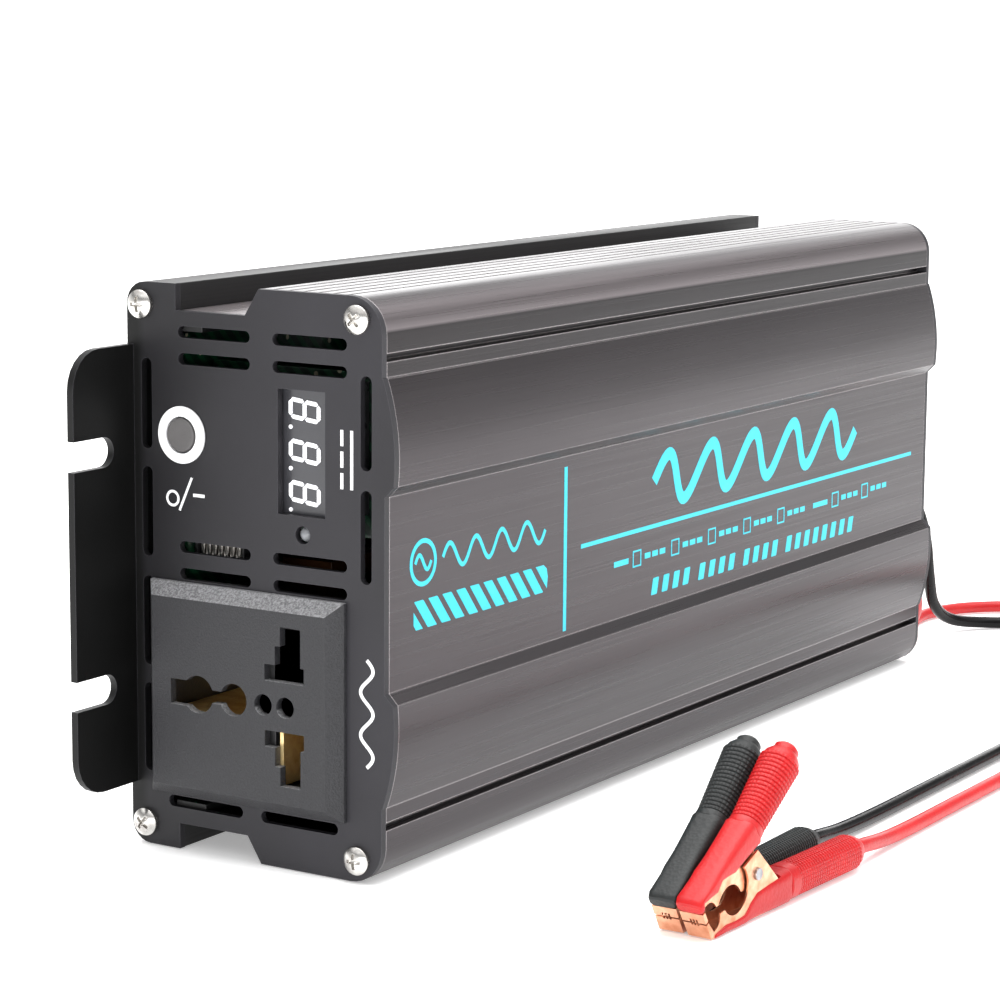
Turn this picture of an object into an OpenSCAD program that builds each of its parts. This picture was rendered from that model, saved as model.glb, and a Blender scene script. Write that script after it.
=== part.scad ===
// Power inverter in an extruded two-shell case, standing on its narrow side.
// X is the thickness (printed cover towards +X), Y the length (outlets towards -Y), Z is up.
// The origin is at the bottom centre of the case and its feet.

/* [Case] */
// Length of the case between the outer faces of the two end panels
case_length = 238.5; // [225:0.5:260]
// Height of the case as it stands
case_height = 110; // [109:0.5:112]
// Distance of the outermost case faces from the middle plane, across the thickness
half_thickness = 30.9; // [30.5:0.1:31.5]
// Wall thickness of the extruded shells
wall = 2; // [1.8:0.1:2.2]
// Sheet thickness of the end panels
panel_sheet = 1.5; // [1.2:0.1:1.8]
// Number of fine grooves in each ribbed flank
flank_grooves = 6; // [3:1:6]

/* [Feet] */
// How far each foot flange stands out from its panel
foot_depth = 18; // [15:0.5:22]
// Height of each foot flange
foot_height = 85.8; // [80:0.2:90]
// Distance between the two notches of a foot
notch_spacing = 46; // [40:1:60]
// Width of a notch
notch_width = 5.8; // [4.5:0.1:7]
// Depth of a notch from the flange's outer edge
notch_depth = 11.7; // [8:0.1:13]

/* [Fasteners] */
// Head diameter of the panel screws
screw_head_d = 5.5; // [5:0.1:6]
// Head height of the panel screws
screw_head_h = 1.9; // [1.5:0.1:2.2]
// Shank diameter of the panel screws
screw_shank_d = 2.5; // [2.3:0.1:2.6]
// Length of the screws below the head
screw_length = 9; // [6:1:12]

/* [Outlet] */
// Width of the socket faceplate
outlet_w = 45.5; // [44:0.5:47]
// Height of the socket faceplate
outlet_h = 41.9; // [40:0.1:44]
// How far the faceplate stands proud of the panel
outlet_proud = 3.8; // [3:0.1:5]
// Width of the bevel around the faceplate
outlet_bevel = 2.5; // [1.5:0.1:3]

/* [Front controls] */
// Outer diameter of the button's ring
ring_d = 11; // [10:0.2:12]
// Diameter of the button cap
button_d = 6.6; // [5:0.2:6.8]
// Travel of the button
button_travel = 1.2; // [0.8:0.1:1.2]
// Width of the display window
display_w = 10.8; // [10:0.1:12]
// Height of the display window
display_h = 23.6; // [22:0.1:25]

/* [Fan] */
// Side of the square fan frame
fan_size = 40; // [38:1:40]
// Depth of the fan frame
fan_depth = 10; // [10:1:15]
// Number of fan blades
fan_blades = 7; // [5:1:9]

/* [Leads and clamps] */
// Diameter of the battery leads
lead_d = 3; // [2.5:0.1:3.2]
// Diameter of the clamp grips
grip_d = 6.8; // [6:0.1:7]

/* [Hidden] */
$fn = 48;
eps = 0.01;

// Places of the case
mid_z = case_height / 2;
front_y = -case_length / 2;
rear_y = case_length / 2;
shell_front = front_y + panel_sheet;
shell_rear = rear_y - panel_sheet;

// Section of the case: x against the height above the middle (the lower half is its mirror image)
flank_z = case_height / 2;
recess_x = half_thickness - 2.2;
band_x = half_thickness - 2.8;
recess_half = 18.4;
bulge_start = 20.4;
bulge_end = 40.2;
bulge_peak = 25;
bulge_r = 45.7;
groove_low = 43.2;
groove_high = 44.6;
groove_depth = 2.5;
corner_r = 7;
left_corner_r = 4.3;
flank_x = 0.3;
valley_x = -2.9;
valley_z = flank_z - 5.1;
block_x = -19.2;
seam_gap = 0.3;
cavity_x = 26.3;
rib_pitch = 3.4;
rib_groove = [0.8, 0.5];

// Screw places: x and height above the middle
screw_left_x = -27.3;
screw_right_x = 22.8;
screw_z = 50.7;
channel_r = 1.25;

// Vent slots of the front panel: centre x, height above the middle, length, width
long_slot = [16.9, 2.25];
base_slot = [17.9, 2.3];
side_slot = [17.5, 2.5];
slot_pair_x = [-10.2, 11.9];
base_slot_x = [-12.9, 9.3];
slot_rows = [45.9, 40.8, 4.7, -0.5];
base_slot_row = -45.6;
left_slots = [-26.3, [31.7, 10.8, -10.5, -31.6]];
right_slots = [24.6, [31.7, 10.6]];

// Front controls: x and z of each
button_at = [-17.7, 81.3];
display_at = [10, 80];
led_at = [10.3, 64.7];
led_r = 1.5;
led_front = front_y + 0.3;
collar_r = 4.5;
display_recess = 2.2;
board_y = -106;
board_sheet = 1.6;

// Outlet
outlet_at = [-2.45, 32.05];
outlet_rim = 0.9;
outlet_face = 1.8;
outlet_body = 35.6;
outlet_back_y = -94;
outlet_fit = 0.2;
pin_row_z = 32.3;
blade_offset = 6.35;
stem_reach = 15.2;
hole_x = 10;

// Board and parts inside
main_board_x = -22.6;
main_board_y = [-114, 102];
main_board_half = 45;
board_face_x = main_board_x + board_sheet;

// Fan and terminals on the rear panel
fan_at = [-2, 78];
fan_bore_r = fan_size / 2 - 1.4;
fan_hole = fan_size / 2 - 4;
fan_hub_r = 9.5;
fan_shaft_r = 1;
fan_clearance = 0.05;
terminal_x = -2;
positive_z = 22;
negative_z = 42;
block_depth = 6;
stud_r = 2.5;
stud_end = 136.5;
ring_sheet = 1;
ring_r = 4.6;
nut_r = 4.4;
nut_h = 4;
barrel_end_x = 13;
barrel_r = 2.3;
barrel_y = 127.6;

// Battery leads: each route runs from its ring terminal to its clamp's boot
red_route = [
    [13, 127.6, 22], [18, 127.8, 21.5], [21, 131, 17.5], [19, 138, 10], [14, 147, 4.5], [9, 158, 1.6],
    [8, 170, 1.6], [13, 183, 1.6], [24, 193, 1.6], [39, 198, 1.6], [56, 198, 1.6], [72, 192, 1.6],
    [84, 181, 1.6], [92, 166, 1.6], [95, 149, 1.6], [95, 110, 1.6], [95, 70, 1.6], [95, 30, 1.6],
    [95, -10, 1.6], [95, -30, 1.6], [95.3, -44, 2.2]
];
black_route = [
    [13, 127.6, 42], [18, 127.8, 41.5], [21.5, 131, 37], [22, 136, 28], [20.5, 142, 18], [19, 149, 9],
    [20, 158, 3.5], [26, 168, 1.6], [37, 175, 1.6], [50, 177, 1.6], [63, 173, 1.6], [74, 165, 1.6],
    [82, 153, 1.6], [85, 139, 1.6], [85, 105, 1.6], [85, 70, 1.6], [85, 35, 1.6], [85, 0, 1.6],
    [85, -25, 1.6], [85.2, -43, 2.2]
];
lead_sides = 8;
lead_steps = 2;

// Clamps: a runs from the jaw tip back along the fixed grip, b is up, the pieces are centred across
red_tip = [92.6, -114, 0];
black_tip = [86.6, -113.5, 0];
red_heading = 3;
black_heading = -1;
pivot = [15.5, 8.5];
pin_r = 0.7;
pin_head_r = 1.15;
pin_clearance = 0.05;
outer_plate = [2, 2.45];
inner_plate = [1.25, 1.7];
sleeve_half = 2.8;
grip_r = grip_d / 2;
grip_axis_b = grip_r + 0.1;
grip_start = 27;
grip_end = 53.5;
boot_end = 58;
handle_angle = 38.7;
handle_start = [14.2, 16.1];
handle_length = 18;
handle_r = [3.2, 3.8];
nub_r = 2.4;
tooth_w = 0.4;
tooth_pitch = 0.62;
mouth_front = [0.3, 3.9, 2.7];
mouth_rear_low = [8, 7.2, 4.5];
mouth_rear_high = [7.4, 4, 4.2];

// ---- helpers ----

// Extrudes an (x, z) outline along Y, from y0 to y1
module along_y(y0, y1) {
    translate([0, y1, 0])
        rotate([90, 0, 0])
            linear_extrude(y1 - y0)
                children();
}

// Extrudes a (y, z) outline along X, from x0 to x1
module along_x(x0, x1) {
    translate([x0, 0, 0])
        rotate([90, 0, 90])
            linear_extrude(x1 - x0)
                children();
}

// A round bar along Y
module bar_y(at, y0, y1, r) {
    translate([at[0], y1, at[1]])
        rotate([90, 0, 0])
            cylinder(r = r, h = y1 - y0);
}

// A round bar along X
module bar_x(at, x0, x1, r) {
    translate([x0, at[0], at[1]])
        rotate([0, 90, 0])
            cylinder(r = r, h = x1 - x0);
}

// A block given by its low and high corners
module block(low, high) {
    translate(low)
        cube(high - low);
}

// A slot with round ends, lying along its first axis
module slot(length, width) {
    square([length - width, width], center = true);
    for (side = [-1, 1])
        translate([side * (length - width) / 2, 0])
            circle(d = width);
}

function arc(centre, r, from, to, steps) = [
    for (i = [0:steps])
        let (angle = from + (to - from) * i / steps)
            centre + r * [cos(angle), sin(angle)]
];

function mirrored(points) = [for (i = [len(points) - 1:-1:0]) [points[i][0], -points[i][1]]];

// ---- case sections ----

bulge_centre = [half_thickness - bulge_r, bulge_peak];
bulge_low_angle = asin((bulge_start - bulge_peak) / bulge_r);
bulge_high_angle = asin((bulge_end - bulge_peak) / bulge_r);

function cover_side() = concat(
    [[recess_x, 0], [recess_x, recess_half]],
    arc(bulge_centre, bulge_r, bulge_low_angle, bulge_high_angle, 10),
    [[band_x, bulge_end]]
);

function cover_corner() = arc([band_x - corner_r, flank_z - corner_r], corner_r, 0, 90, 8);

function groove_notch() = [
    [band_x, groove_low], [band_x - groove_depth, groove_low],
    [band_x - groove_depth, groove_high], [band_x, groove_high]
];

function flank_edge() = [[flank_x, flank_z], [valley_x, valley_z]];

function left_edge() = concat(
    [[block_x, valley_z], [block_x, flank_z]],
    arc([left_corner_r - half_thickness, flank_z - left_corner_r], left_corner_r, 90, 180, 6),
    [[-half_thickness, 0]]
);

function case_half() = concat(cover_side(), cover_corner(), flank_edge(), left_edge());

function cover_cavity() = [
    [block_x + seam_gap, valley_z - wall], [valley_x + 1.1, valley_z - wall],
    [flank_x + 1.1, flank_z - wall], [band_x - corner_r, flank_z - wall],
    [cavity_x - 1.6, flank_z - wall - 1.8], [cavity_x, flank_z - corner_r],
    [cavity_x, groove_high + 1.8], [cavity_x - 2.5, groove_high + 0.8],
    [cavity_x - 2.5, groove_low - 0.8], [cavity_x, groove_low - 1.8], [cavity_x, 0]
];

function cover_half() = concat(
    cover_side(), groove_notch(), cover_corner(), flank_edge(),
    [[block_x + seam_gap, valley_z]], cover_cavity()
);

lip_reach = 5.2;
lip_z = valley_z - wall - 0.1;
base_inner_x = wall - half_thickness;

function base_half() = concat(
    [[base_inner_x, 0], [base_inner_x, screw_z - 3.5], [screw_left_x + 3.1, screw_z - 3.5],
     [screw_left_x + 3.1, flank_z - wall], [block_x - wall, flank_z - wall],
     [block_x - wall, lip_z - wall], [block_x + lip_reach, lip_z - wall],
     [block_x + lip_reach, lip_z], [block_x, lip_z], [block_x, flank_z]],
    arc([left_corner_r - half_thickness, flank_z - left_corner_r], left_corner_r, 90, 180, 6),
    [[-half_thickness, 0]]
);

module at_middle() {
    translate([0, mid_z])
        children();
}

module both_halves() {
    for (half = [0, 1])
        mirror([0, half])
            children();
}

// ---- case ----

module cover_shell() {
    color([0.42, 0.40, 0.41])
        along_y(shell_front, shell_rear)
            at_middle()
                both_halves()
                    difference() {
                        union() {
                            polygon(cover_half());
                            intersection() {
                                translate([screw_right_x, screw_z])
                                    circle(r = 3.2);
                                polygon(case_half());
                            }
                        }
                        translate([screw_right_x, screw_z])
                            circle(r = channel_r);
                        for (i = [0:flank_grooves - 1])
                            translate([flank_x + 2.2 + i * rib_pitch, flank_z - rib_groove[1]])
                                square([rib_groove[0], 1]);
                    }
}

module base_shell() {
    color([0.10, 0.10, 0.11])
        along_y(shell_front, shell_rear)
            at_middle()
                both_halves()
                    difference() {
                        polygon(base_half());
                        translate([screw_left_x, screw_z])
                            circle(r = channel_r);
                    }
}

// Outline of a foot: distance from the panel against height above the middle
module foot_outline() {
    half = foot_height / 2;
    foot_r = 7.5;
    difference() {
        polygon(concat(
            [[0, -half]],
            arc([foot_depth - foot_r, foot_r - half], foot_r, -90, 0, 6),
            arc([foot_depth - foot_r, half - foot_r], foot_r, 0, 90, 6),
            [[0, half]]
        ));
        for (side = [-1, 1])
            translate([foot_depth, side * notch_spacing / 2]) {
                translate([-(notch_depth - notch_width / 2), -notch_width / 2])
                    square([notch_depth, notch_width]);
                translate([-(notch_depth - notch_width / 2), 0])
                    circle(d = notch_width);
            }
    }
}

// A panel's sheet and its foot, with the sheet's outer face at the front end of the case
module panel_blank() {
    along_y(front_y, front_y + panel_sheet)
        at_middle()
            polygon(concat(case_half(), mirrored(case_half())));
    translate([0, front_y, 0])
        mirror([0, 1, 0])
            along_x(-half_thickness, panel_sheet - half_thickness)
                at_middle()
                    foot_outline();
}

module screw_holes() {
    for (x = [screw_left_x, screw_right_x], side = [-1, 1])
        translate([x, mid_z + side * screw_z])
            circle(r = screw_shank_d / 2 + 0.3);
}

module front_cutouts() {
    at_middle() {
        for (x = slot_pair_x, row = slot_rows)
            translate([x, row])
                slot(long_slot[0], long_slot[1]);
        for (x = base_slot_x)
            translate([x, base_slot_row])
                slot(base_slot[0], base_slot[1]);
        for (column = [left_slots, right_slots], row = column[1])
            translate([column[0], row])
                rotate(90)
                    slot(side_slot[0], side_slot[1]);
    }
    screw_holes();
    translate(button_at)
        circle(r = collar_r + 0.1);
    translate(led_at)
        circle(r = led_r + 0.2);
    translate(display_at)
        square([display_w, display_h], center = true);
    translate(outlet_at)
        square(outlet_body + 2 * outlet_fit, center = true);
}

module front_panel() {
    color([0.20, 0.20, 0.21])
        difference() {
            panel_blank();
            along_y(front_y - 1, shell_front + 1)
                front_cutouts();
        }
}

// Stamped grille in front of the fan: slots clipped by a circle
module fan_grille() {
    translate(fan_at)
        intersection() {
            circle(r = fan_bore_r - 1);
            for (i = [-4:4])
                translate([0, i * 4])
                    slot(2 * fan_bore_r, 2);
        }
}

module fan_screw_holes(r) {
    for (sx = [-1, 1], sz = [-1, 1])
        translate(fan_at + fan_hole * [sx, sz])
            circle(r = r);
}

module rear_panel() {
    color([0.20, 0.20, 0.21])
        difference() {
            mirror([0, 1, 0])
                panel_blank();
            along_y(shell_rear - 1, rear_y + 1) {
                screw_holes();
                fan_grille();
                fan_screw_holes(1.6);
                for (z = [positive_z, negative_z])
                    translate([terminal_x, z])
                        circle(r = stud_r + 1.2);
            }
        }
}

// A pan-head screw with a cross recess, its head on the plane y = 0 and its shank towards +Y
module pan_screw(length) {
    dome_r = 4.2;
    difference() {
        union() {
            intersection() {
                bar_y([0, 0], -screw_head_h, 0, screw_head_d / 2);
                translate([0, dome_r - screw_head_h, 0])
                    sphere(r = dome_r);
            }
            bar_y([0, 0], -eps, length, screw_shank_d / 2 - 0.05);
        }
        for (turn = [0, 90])
            rotate([0, turn, 0])
                translate([-1.5, -screw_head_h - 1, -0.3])
                    cube([3, 2, 0.6]);
    }
}

module front_panel_screws() {
    color([0.82, 0.82, 0.82])
        for (x = [screw_left_x, screw_right_x], side = [-1, 1])
            translate([x, front_y, mid_z + side * screw_z])
                rotate([0, 25 * side + x, 0])
                    pan_screw(screw_length);
}

module rear_panel_screws() {
    color([0.82, 0.82, 0.82])
        mirror([0, 1, 0])
            front_panel_screws();
}

// ---- front controls ----

module button_ring() {
    color([0.95, 0.95, 0.95])
        difference() {
            union() {
                bar_y(button_at, front_y - 0.7, front_y, ring_d / 2);
                bar_y(button_at, front_y - eps, shell_front + 2, collar_r);
            }
            bar_y(button_at, front_y - 2, shell_front + 3, button_d / 2 + 0.2);
        }
}

cap_front = front_y - 0.9;
cap_back = -115.2;
stem_r = 1.5;
stem_end = -110;
switch_front = -113.6;

module power_button() {
    color([0.27, 0.27, 0.28]) {
        bar_y(button_at, cap_front, cap_back, button_d / 2);
        bar_y(button_at, cap_back - eps, stem_end, stem_r);
    }
}

module switch_body() {
    switch_half = 3.2;
    color([0.08, 0.08, 0.08])
        difference() {
            block([button_at[0] - switch_half, switch_front, button_at[1] - switch_half],
                  [button_at[0] + switch_half, board_y, button_at[1] + switch_half]);
            bar_y(button_at, switch_front - 1, stem_end + button_travel + 0.6, stem_r + 0.08);
        }
}

module display_module() {
    color([0.12, 0.12, 0.13])
        translate([display_at[0], 0, display_at[1]])
            block([-(display_w / 2 + 0.8), front_y + display_recess, -(display_h / 2 + 0.8)],
                  [display_w / 2 + 0.8, board_y, display_h / 2 + 0.8]);
}

// One bar of a figure with pointed ends, from one end to the other, leaning with the figure
module figure_bar(from, to, stroke) {
    ahead = (to - from) / norm(to - from);
    over = [-ahead[1], ahead[0]];
    half = stroke / 2;
    outline = [
        from, from + half * (ahead + over), to + half * (over - ahead),
        to, to - half * (ahead + over), from + half * (ahead - over)
    ];
    polygon([for (p = outline) [p[0] + figure_lean * p[1], p[1]]]);
}

// One seven-segment figure, upright in its own plane and centred, with its point at the lower right
module figure_outline(height, pitch) {
    stroke = height * 0.11;
    gap = stroke * 0.18;
    reach = [height * 0.56 - stroke, height - stroke] / 2;
    for (row = [-1, 0, 1])
        figure_bar([gap - reach[0], row * reach[1]], [reach[0] - gap, row * reach[1]], stroke);
    for (side = [-1, 1], row = [-1, 0])
        figure_bar([side * reach[0], row * reach[1] + gap],
                   [side * reach[0], (row + 1) * reach[1] - gap], stroke);
    translate([pitch * 0.42, -reach[1]])
        circle(d = stroke);
}

digit_height = 7.2;
digit_pitch = 7.8;
digit_shift = -0.7;
figure_lean = 0.12;

module display_digits() {
    color([0.95, 0.95, 1])
        along_y(front_y + display_recess - 0.2, front_y + display_recess)
            for (i = [-1, 0, 1])
                translate([display_at[0] + digit_shift, display_at[1] + i * digit_pitch])
                    rotate(-90)
                        figure_outline(digit_height, digit_pitch);
}

module status_led() {
    color([0.75, 0.78, 0.78]) {
        bar_y(led_at, led_front + led_r, board_y, led_r);
        translate([led_at[0], led_front + led_r, led_at[1]])
            sphere(r = led_r);
    }
}

module control_board() {
    color([0.05, 0.35, 0.22])
        difference() {
            block([-20.5, board_y, 62.8], [20.5, board_y + board_sheet, 94.2]);
            block([-21, board_y - 1, 62], [choke_x[1] + 0.5, board_y + board_sheet + 1, choke_at[1] + 6.8]);
        }
}

// ---- outlet ----

// Holes for round pins, flat blades and the earth pin
module outlet_holes() {
    for (side = [-1, 1])
        translate([hole_x, pin_row_z])
            scale([1, side]) {
                translate([-5.9, blade_offset - 1.55])
                    square([9, 3.1]);
                translate([-3.5, blade_offset])
                    square([5.8, 5.2]);
                translate([-2.3, blade_offset])
                    square([4.6, stem_reach - blade_offset]);
            }
    translate([-11.7, pin_row_z])
        circle(r = 3.6);
    translate([-3.3, pin_row_z])
        circle(r = 3.1);
    translate([-18.2, pin_row_z - 2.5])
        square([6, 4.9]);
    translate([-9, pin_row_z - 1.2])
        square([4, 2.4]);
    for (x = [3.7, 8.8])
        translate([x, pin_row_z])
            circle(r = 2);
}

// Chambers behind the holes: x range and z range of each
live_chamber = [5.4, 36.6, 14.4, 48.4];
neutral_chamber = [5.4, 16.2, 14.4, 28];
earth_chamber = [-19, 27.9, 0.6, 36.7];
pin_chamber = [1.6, 29.6, 11, 35];

module chamber(room, depth) {
    block([room[0], front_y - outlet_proud, room[1]], [room[2], front_y + depth, room[3]]);
}

module socket_faceplate() {
    back = front_y;
    low = outlet_at - [outlet_w, outlet_h] / 2;
    high = outlet_at + [outlet_w, outlet_h] / 2;
    rim_y = back - outlet_rim;
    face_y = back - outlet_proud;
    color([0.26, 0.26, 0.27])
        difference() {
            intersection() {
                translate([0, 0, low[1]])
                    linear_extrude(outlet_h)
                        polygon([
                            [low[0], back], [low[0], rim_y], [low[0] + outlet_bevel, face_y],
                            [high[0] - outlet_bevel, face_y], [high[0], rim_y], [high[0], back]
                        ]);
                along_x(low[0] - 1, high[0] + 1)
                    polygon([
                        [back, low[1]], [rim_y, low[1]], [face_y, low[1] + outlet_bevel],
                        [face_y, high[1] - outlet_bevel], [rim_y, high[1]], [back, high[1]]
                    ]);
            }
            along_y(face_y - 1, back + 1)
                outlet_holes();
            along_y(face_y + outlet_face, back + 1)
                translate(outlet_at)
                    square(outlet_body + 2 * outlet_fit, center = true);
        }
}

module socket_body() {
    half = outlet_body / 2;
    color([0.06, 0.06, 0.06])
        difference() {
            block([outlet_at[0] - half, front_y - outlet_proud + outlet_face, outlet_at[1] - half],
                  [outlet_at[0] + half, outlet_back_y, outlet_at[1] + half]);
            for (room = [live_chamber, neutral_chamber, earth_chamber])
                chamber(room, 22);
            chamber(pin_chamber, 14);
        }
}

contact_sheet = 0.8;
contact_front = front_y - outlet_proud + outlet_face;

// Spring leaves on both sides of a chamber, joined at its back
module side_contact(room) {
    back = front_y + 22;
    for (x = [room[0] + 1, room[2] - 1 - contact_sheet])
        block([x, contact_front, room[1] + 0.6], [x + contact_sheet, back, room[3] - 0.6]);
    block([room[0] + 1, back - contact_sheet, room[1] + 0.6], [room[2] - 1, back, room[3] - 0.6]);
}

module live_contact() {
    color([0.85, 0.70, 0.42])
        side_contact(live_chamber);
}

module neutral_contact() {
    color([0.85, 0.70, 0.42])
        side_contact(neutral_chamber);
}

module earth_contact() {
    room = earth_chamber;
    back = front_y + 22;
    color([0.80, 0.72, 0.55]) {
        for (z = [room[1], room[3] - contact_sheet])
            block([room[0] + 0.6, contact_front, z], [room[2] - 0.6, back, z + contact_sheet]);
        block([room[0] + 0.6, back - contact_sheet, room[1]], [room[2] - 0.6, back, room[3]]);
    }
}

live_wire = [
    [10, outlet_back_y, 44], [10, -89, 44], [8, -81, 52], [2, -74, 64], [-9, -70, 72], [board_face_x, -70, 72]
];
neutral_wire = [
    [10, outlet_back_y, 22], [10, -88, 22], [14, -76, 36], [13, -66, 60], [2, -62, 76], [-9, -62, 80],
    [board_face_x, -62, 80]
];

module output_wires() {
    color([0.55, 0.06, 0.05])
        tube(curve(live_wire), 1.2);
    color([0.10, 0.10, 0.10])
        tube(curve(neutral_wire), 1.2);
}

// ---- main board ----

standoff_rows = [-90, -20, 60, 95];
standoff_z = 40;

module board_places() {
    for (y = standoff_rows, side = [-1, 1])
        translate([0, y, mid_z + side * standoff_z])
            children();
}

module main_board() {
    color([0.05, 0.38, 0.20])
        difference() {
            block([main_board_x, main_board_y[0], mid_z - main_board_half],
                  [board_face_x, main_board_y[1], mid_z + main_board_half]);
            board_places()
                bar_x([0, 0], main_board_x - 1, board_face_x + 1, 1.6);
        }
}

module board_standoffs() {
    color([0.78, 0.66, 0.36])
        board_places()
            difference() {
                translate([base_inner_x, 0, 0])
                    rotate([0, 90, 0])
                        cylinder(r = 3, h = main_board_x - base_inner_x, $fn = 6);
                bar_x([0, 0], base_inner_x + 1.5, main_board_x + 1, 1.25);
            }
}

module board_screws() {
    color([0.75, 0.75, 0.76])
        board_places() {
            bar_x([0, 0], board_face_x, board_face_x + 1.8, 2.7);
            bar_x([0, 0], main_board_x - 4, board_face_x + eps, 1.2);
        }
}

// Two ferrite transformers side by side: middle y of each
transformer_y = [8, 52];
core_size = [32, 38, 36];

module at_transformers() {
    for (y = transformer_y)
        translate([board_face_x, y, mid_z])
            children();
}

module transformer_cores() {
    leg = 6;
    color([0.13, 0.13, 0.14])
        at_transformers()
            difference() {
                translate([3, -core_size[1] / 2, -core_size[2] / 2])
                    cube([core_size[0] - 3, core_size[1], core_size[2]]);
                for (side = [-1, 1])
                    translate([3 + leg, side * 8 - 4, -core_size[2] / 2 - 1])
                        cube([core_size[0] - 3 - 2 * leg, 8, core_size[2] + 2]);
            }
}

module transformer_windings() {
    leg = 6;
    coil_h = core_size[0] - 3 - 2 * leg - 0.4;
    color([0.78, 0.66, 0.20])
        at_transformers()
            translate([3 + leg + 0.2, 0, 0]) {
                for (y = [-11.8, 4.2])
                    translate([0, y, -core_size[2] / 2 - 4])
                        cube([coil_h, 7.6, core_size[2] + 8]);
                for (side = [-1, 1])
                    translate([0, -11.8, side * (core_size[2] / 2 + 2.2) - 1.8])
                        cube([coil_h, 23.6, 3.6]);
            }
}

choke_at = [-105.5, 58.5];
choke_x = [board_face_x, board_face_x + 12];

module choke_core() {
    color([0.16, 0.16, 0.17]) {
        bar_x(choke_at, choke_x[0], choke_x[1], 4.2);
        for (x = [choke_x[0], choke_x[1] - 0.8])
            bar_x(choke_at, x, x + 0.8, 6.3);
    }
}

module choke_winding() {
    wire_r = 0.72;
    turns = 7;
    color([0.72, 0.66, 0.62])
        for (i = [0:turns - 1])
            translate([choke_x[0] + 1.55 + i * 2 * wire_r, choke_at[0], choke_at[1]])
                rotate([0, 90, 0])
                    rotate_extrude()
                        translate([4.25 + wire_r, 0])
                            circle(r = wire_r, $fn = 16);
}

// A row of electrolytic capacitors standing on the board
module capacitors(y, heights, r, length) {
    for (z = heights)
        difference() {
            bar_x([y, z], board_face_x, board_face_x + length, r);
            for (turn = [0, 90])
                translate([board_face_x + length, y, z])
                    rotate([turn, 0, 0])
                        cube([0.6, r * 1.3, 0.5], center = true);
        }
}

module bus_capacitors() {
    color([0.10, 0.11, 0.16])
        capacitors(-42, [mid_z - 21.4, mid_z, mid_z + 21.4], 10.5, 40);
}

module input_capacitors() {
    color([0.13, 0.16, 0.30])
        capacitors(86, [mid_z - 27, mid_z - 9, mid_z + 9, mid_z + 27], 6.5, 26);
}

transistor_pitch = 17;
transistor_count = 8;
transistor_y = -54;
sink_half = [37.4, 40.4];

module power_transistors() {
    color([0.09, 0.09, 0.10])
        at_boards_edge()
            for (i = [0:transistor_count - 1])
                translate([board_face_x, transistor_y + i * transistor_pitch, 0]) {
                    translate([4, -5, sink_half[0] - 4.4])
                        cube([15, 10, 4.4]);
                    translate([19 - eps, -5, sink_half[0] - 1.3])
                        cube([6, 10, 1.3]);
                    for (leg = [-2.5, 0, 2.5])
                        translate([0, leg - 0.4, sink_half[0] - 3])
                            cube([4 + eps, 0.8, 0.5]);
                }
}

module at_boards_edge() {
    translate([0, 0, mid_z])
        for (half = [0, 1])
            mirror([0, 0, half])
                children();
}

module heat_sinks() {
    sink_y = [transistor_y - 8, transistor_y + transistor_pitch * (transistor_count - 1) + 8];
    color([0.72, 0.73, 0.75])
        at_boards_edge()
            difference() {
                block([board_face_x + 3, sink_y[0], sink_half[0]],
                      [board_face_x + 36, sink_y[1], sink_half[1]]);
                for (x = [10, 16, 22, 28])
                    block([board_face_x + x, sink_y[0] - 1, sink_half[1] - 1.2],
                          [board_face_x + x + 2.5, sink_y[1] + 1, sink_half[1] + 1]);
            }
}

module blade_fuses() {
    fuse_count = 4;
    color([0.85, 0.42, 0.10])
        for (i = [0:fuse_count - 1])
            translate([board_face_x, -78, mid_z - 22 + i * 8]) {
                translate([3, -9, 0])
                    cube([12, 18, 4]);
                for (y = [-7, 3])
                    translate([0, y, 1.7])
                        cube([3 + eps, 4, 0.7]);
            }
}

// ---- fan ----

fan_front = shell_rear - fan_depth;
strut_sheet = 1.6;

module fan_frame() {
    color([0.07, 0.07, 0.07])
        difference() {
            union() {
                difference() {
                    along_y(fan_front, shell_rear)
                        translate(fan_at)
                            square(fan_size, center = true);
                    bar_y(fan_at, fan_front - 1, shell_rear + 1, fan_bore_r);
                }
                bar_y(fan_at, fan_front, fan_front + strut_sheet, fan_hub_r);
                along_y(fan_front, fan_front + strut_sheet)
                    translate(fan_at)
                        for (turn = [0, 90])
                            rotate(turn + 20)
                                square([2 * fan_bore_r + 0.8, 2], center = true);
            }
            along_y(fan_front - 1, shell_rear + 1)
                fan_screw_holes(1.55);
            bar_y(fan_at, fan_front - 1, fan_front + strut_sheet + 1, fan_shaft_r + fan_clearance);
        }
}

module fan_rotor() {
    hub_front = fan_front + strut_sheet + 0.4;
    hub_back = shell_rear - 0.6;
    blade_tip_r = fan_bore_r - 0.6;
    color([0.10, 0.10, 0.10]) {
        bar_y(fan_at, hub_front, hub_back, fan_hub_r);
        bar_y(fan_at, fan_front + 0.2, hub_front + eps, fan_shaft_r);
        intersection() {
            bar_y(fan_at, hub_front + 0.3, hub_back - 0.3, blade_tip_r);
            translate([fan_at[0], (hub_front + hub_back) / 2, fan_at[1]])
                for (i = [0:fan_blades - 1])
                    rotate([0, i * 360 / fan_blades, 0])
                        translate([fan_hub_r - 1, 0, 0])
                            rotate([35, 0, 0])
                                translate([0, -0.6, -6])
                                    cube([fan_bore_r, 1.2, 12]);
        }
    }
}

module fan_screws() {
    color([0.80, 0.80, 0.80])
        for (sx = [-1, 1], sz = [-1, 1])
            translate([fan_at[0] + sx * fan_hole, rear_y, fan_at[1] + sz * fan_hole])
                mirror([0, 1, 0])
                    pan_screw(screw_length);
}

// ---- terminals ----

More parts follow.
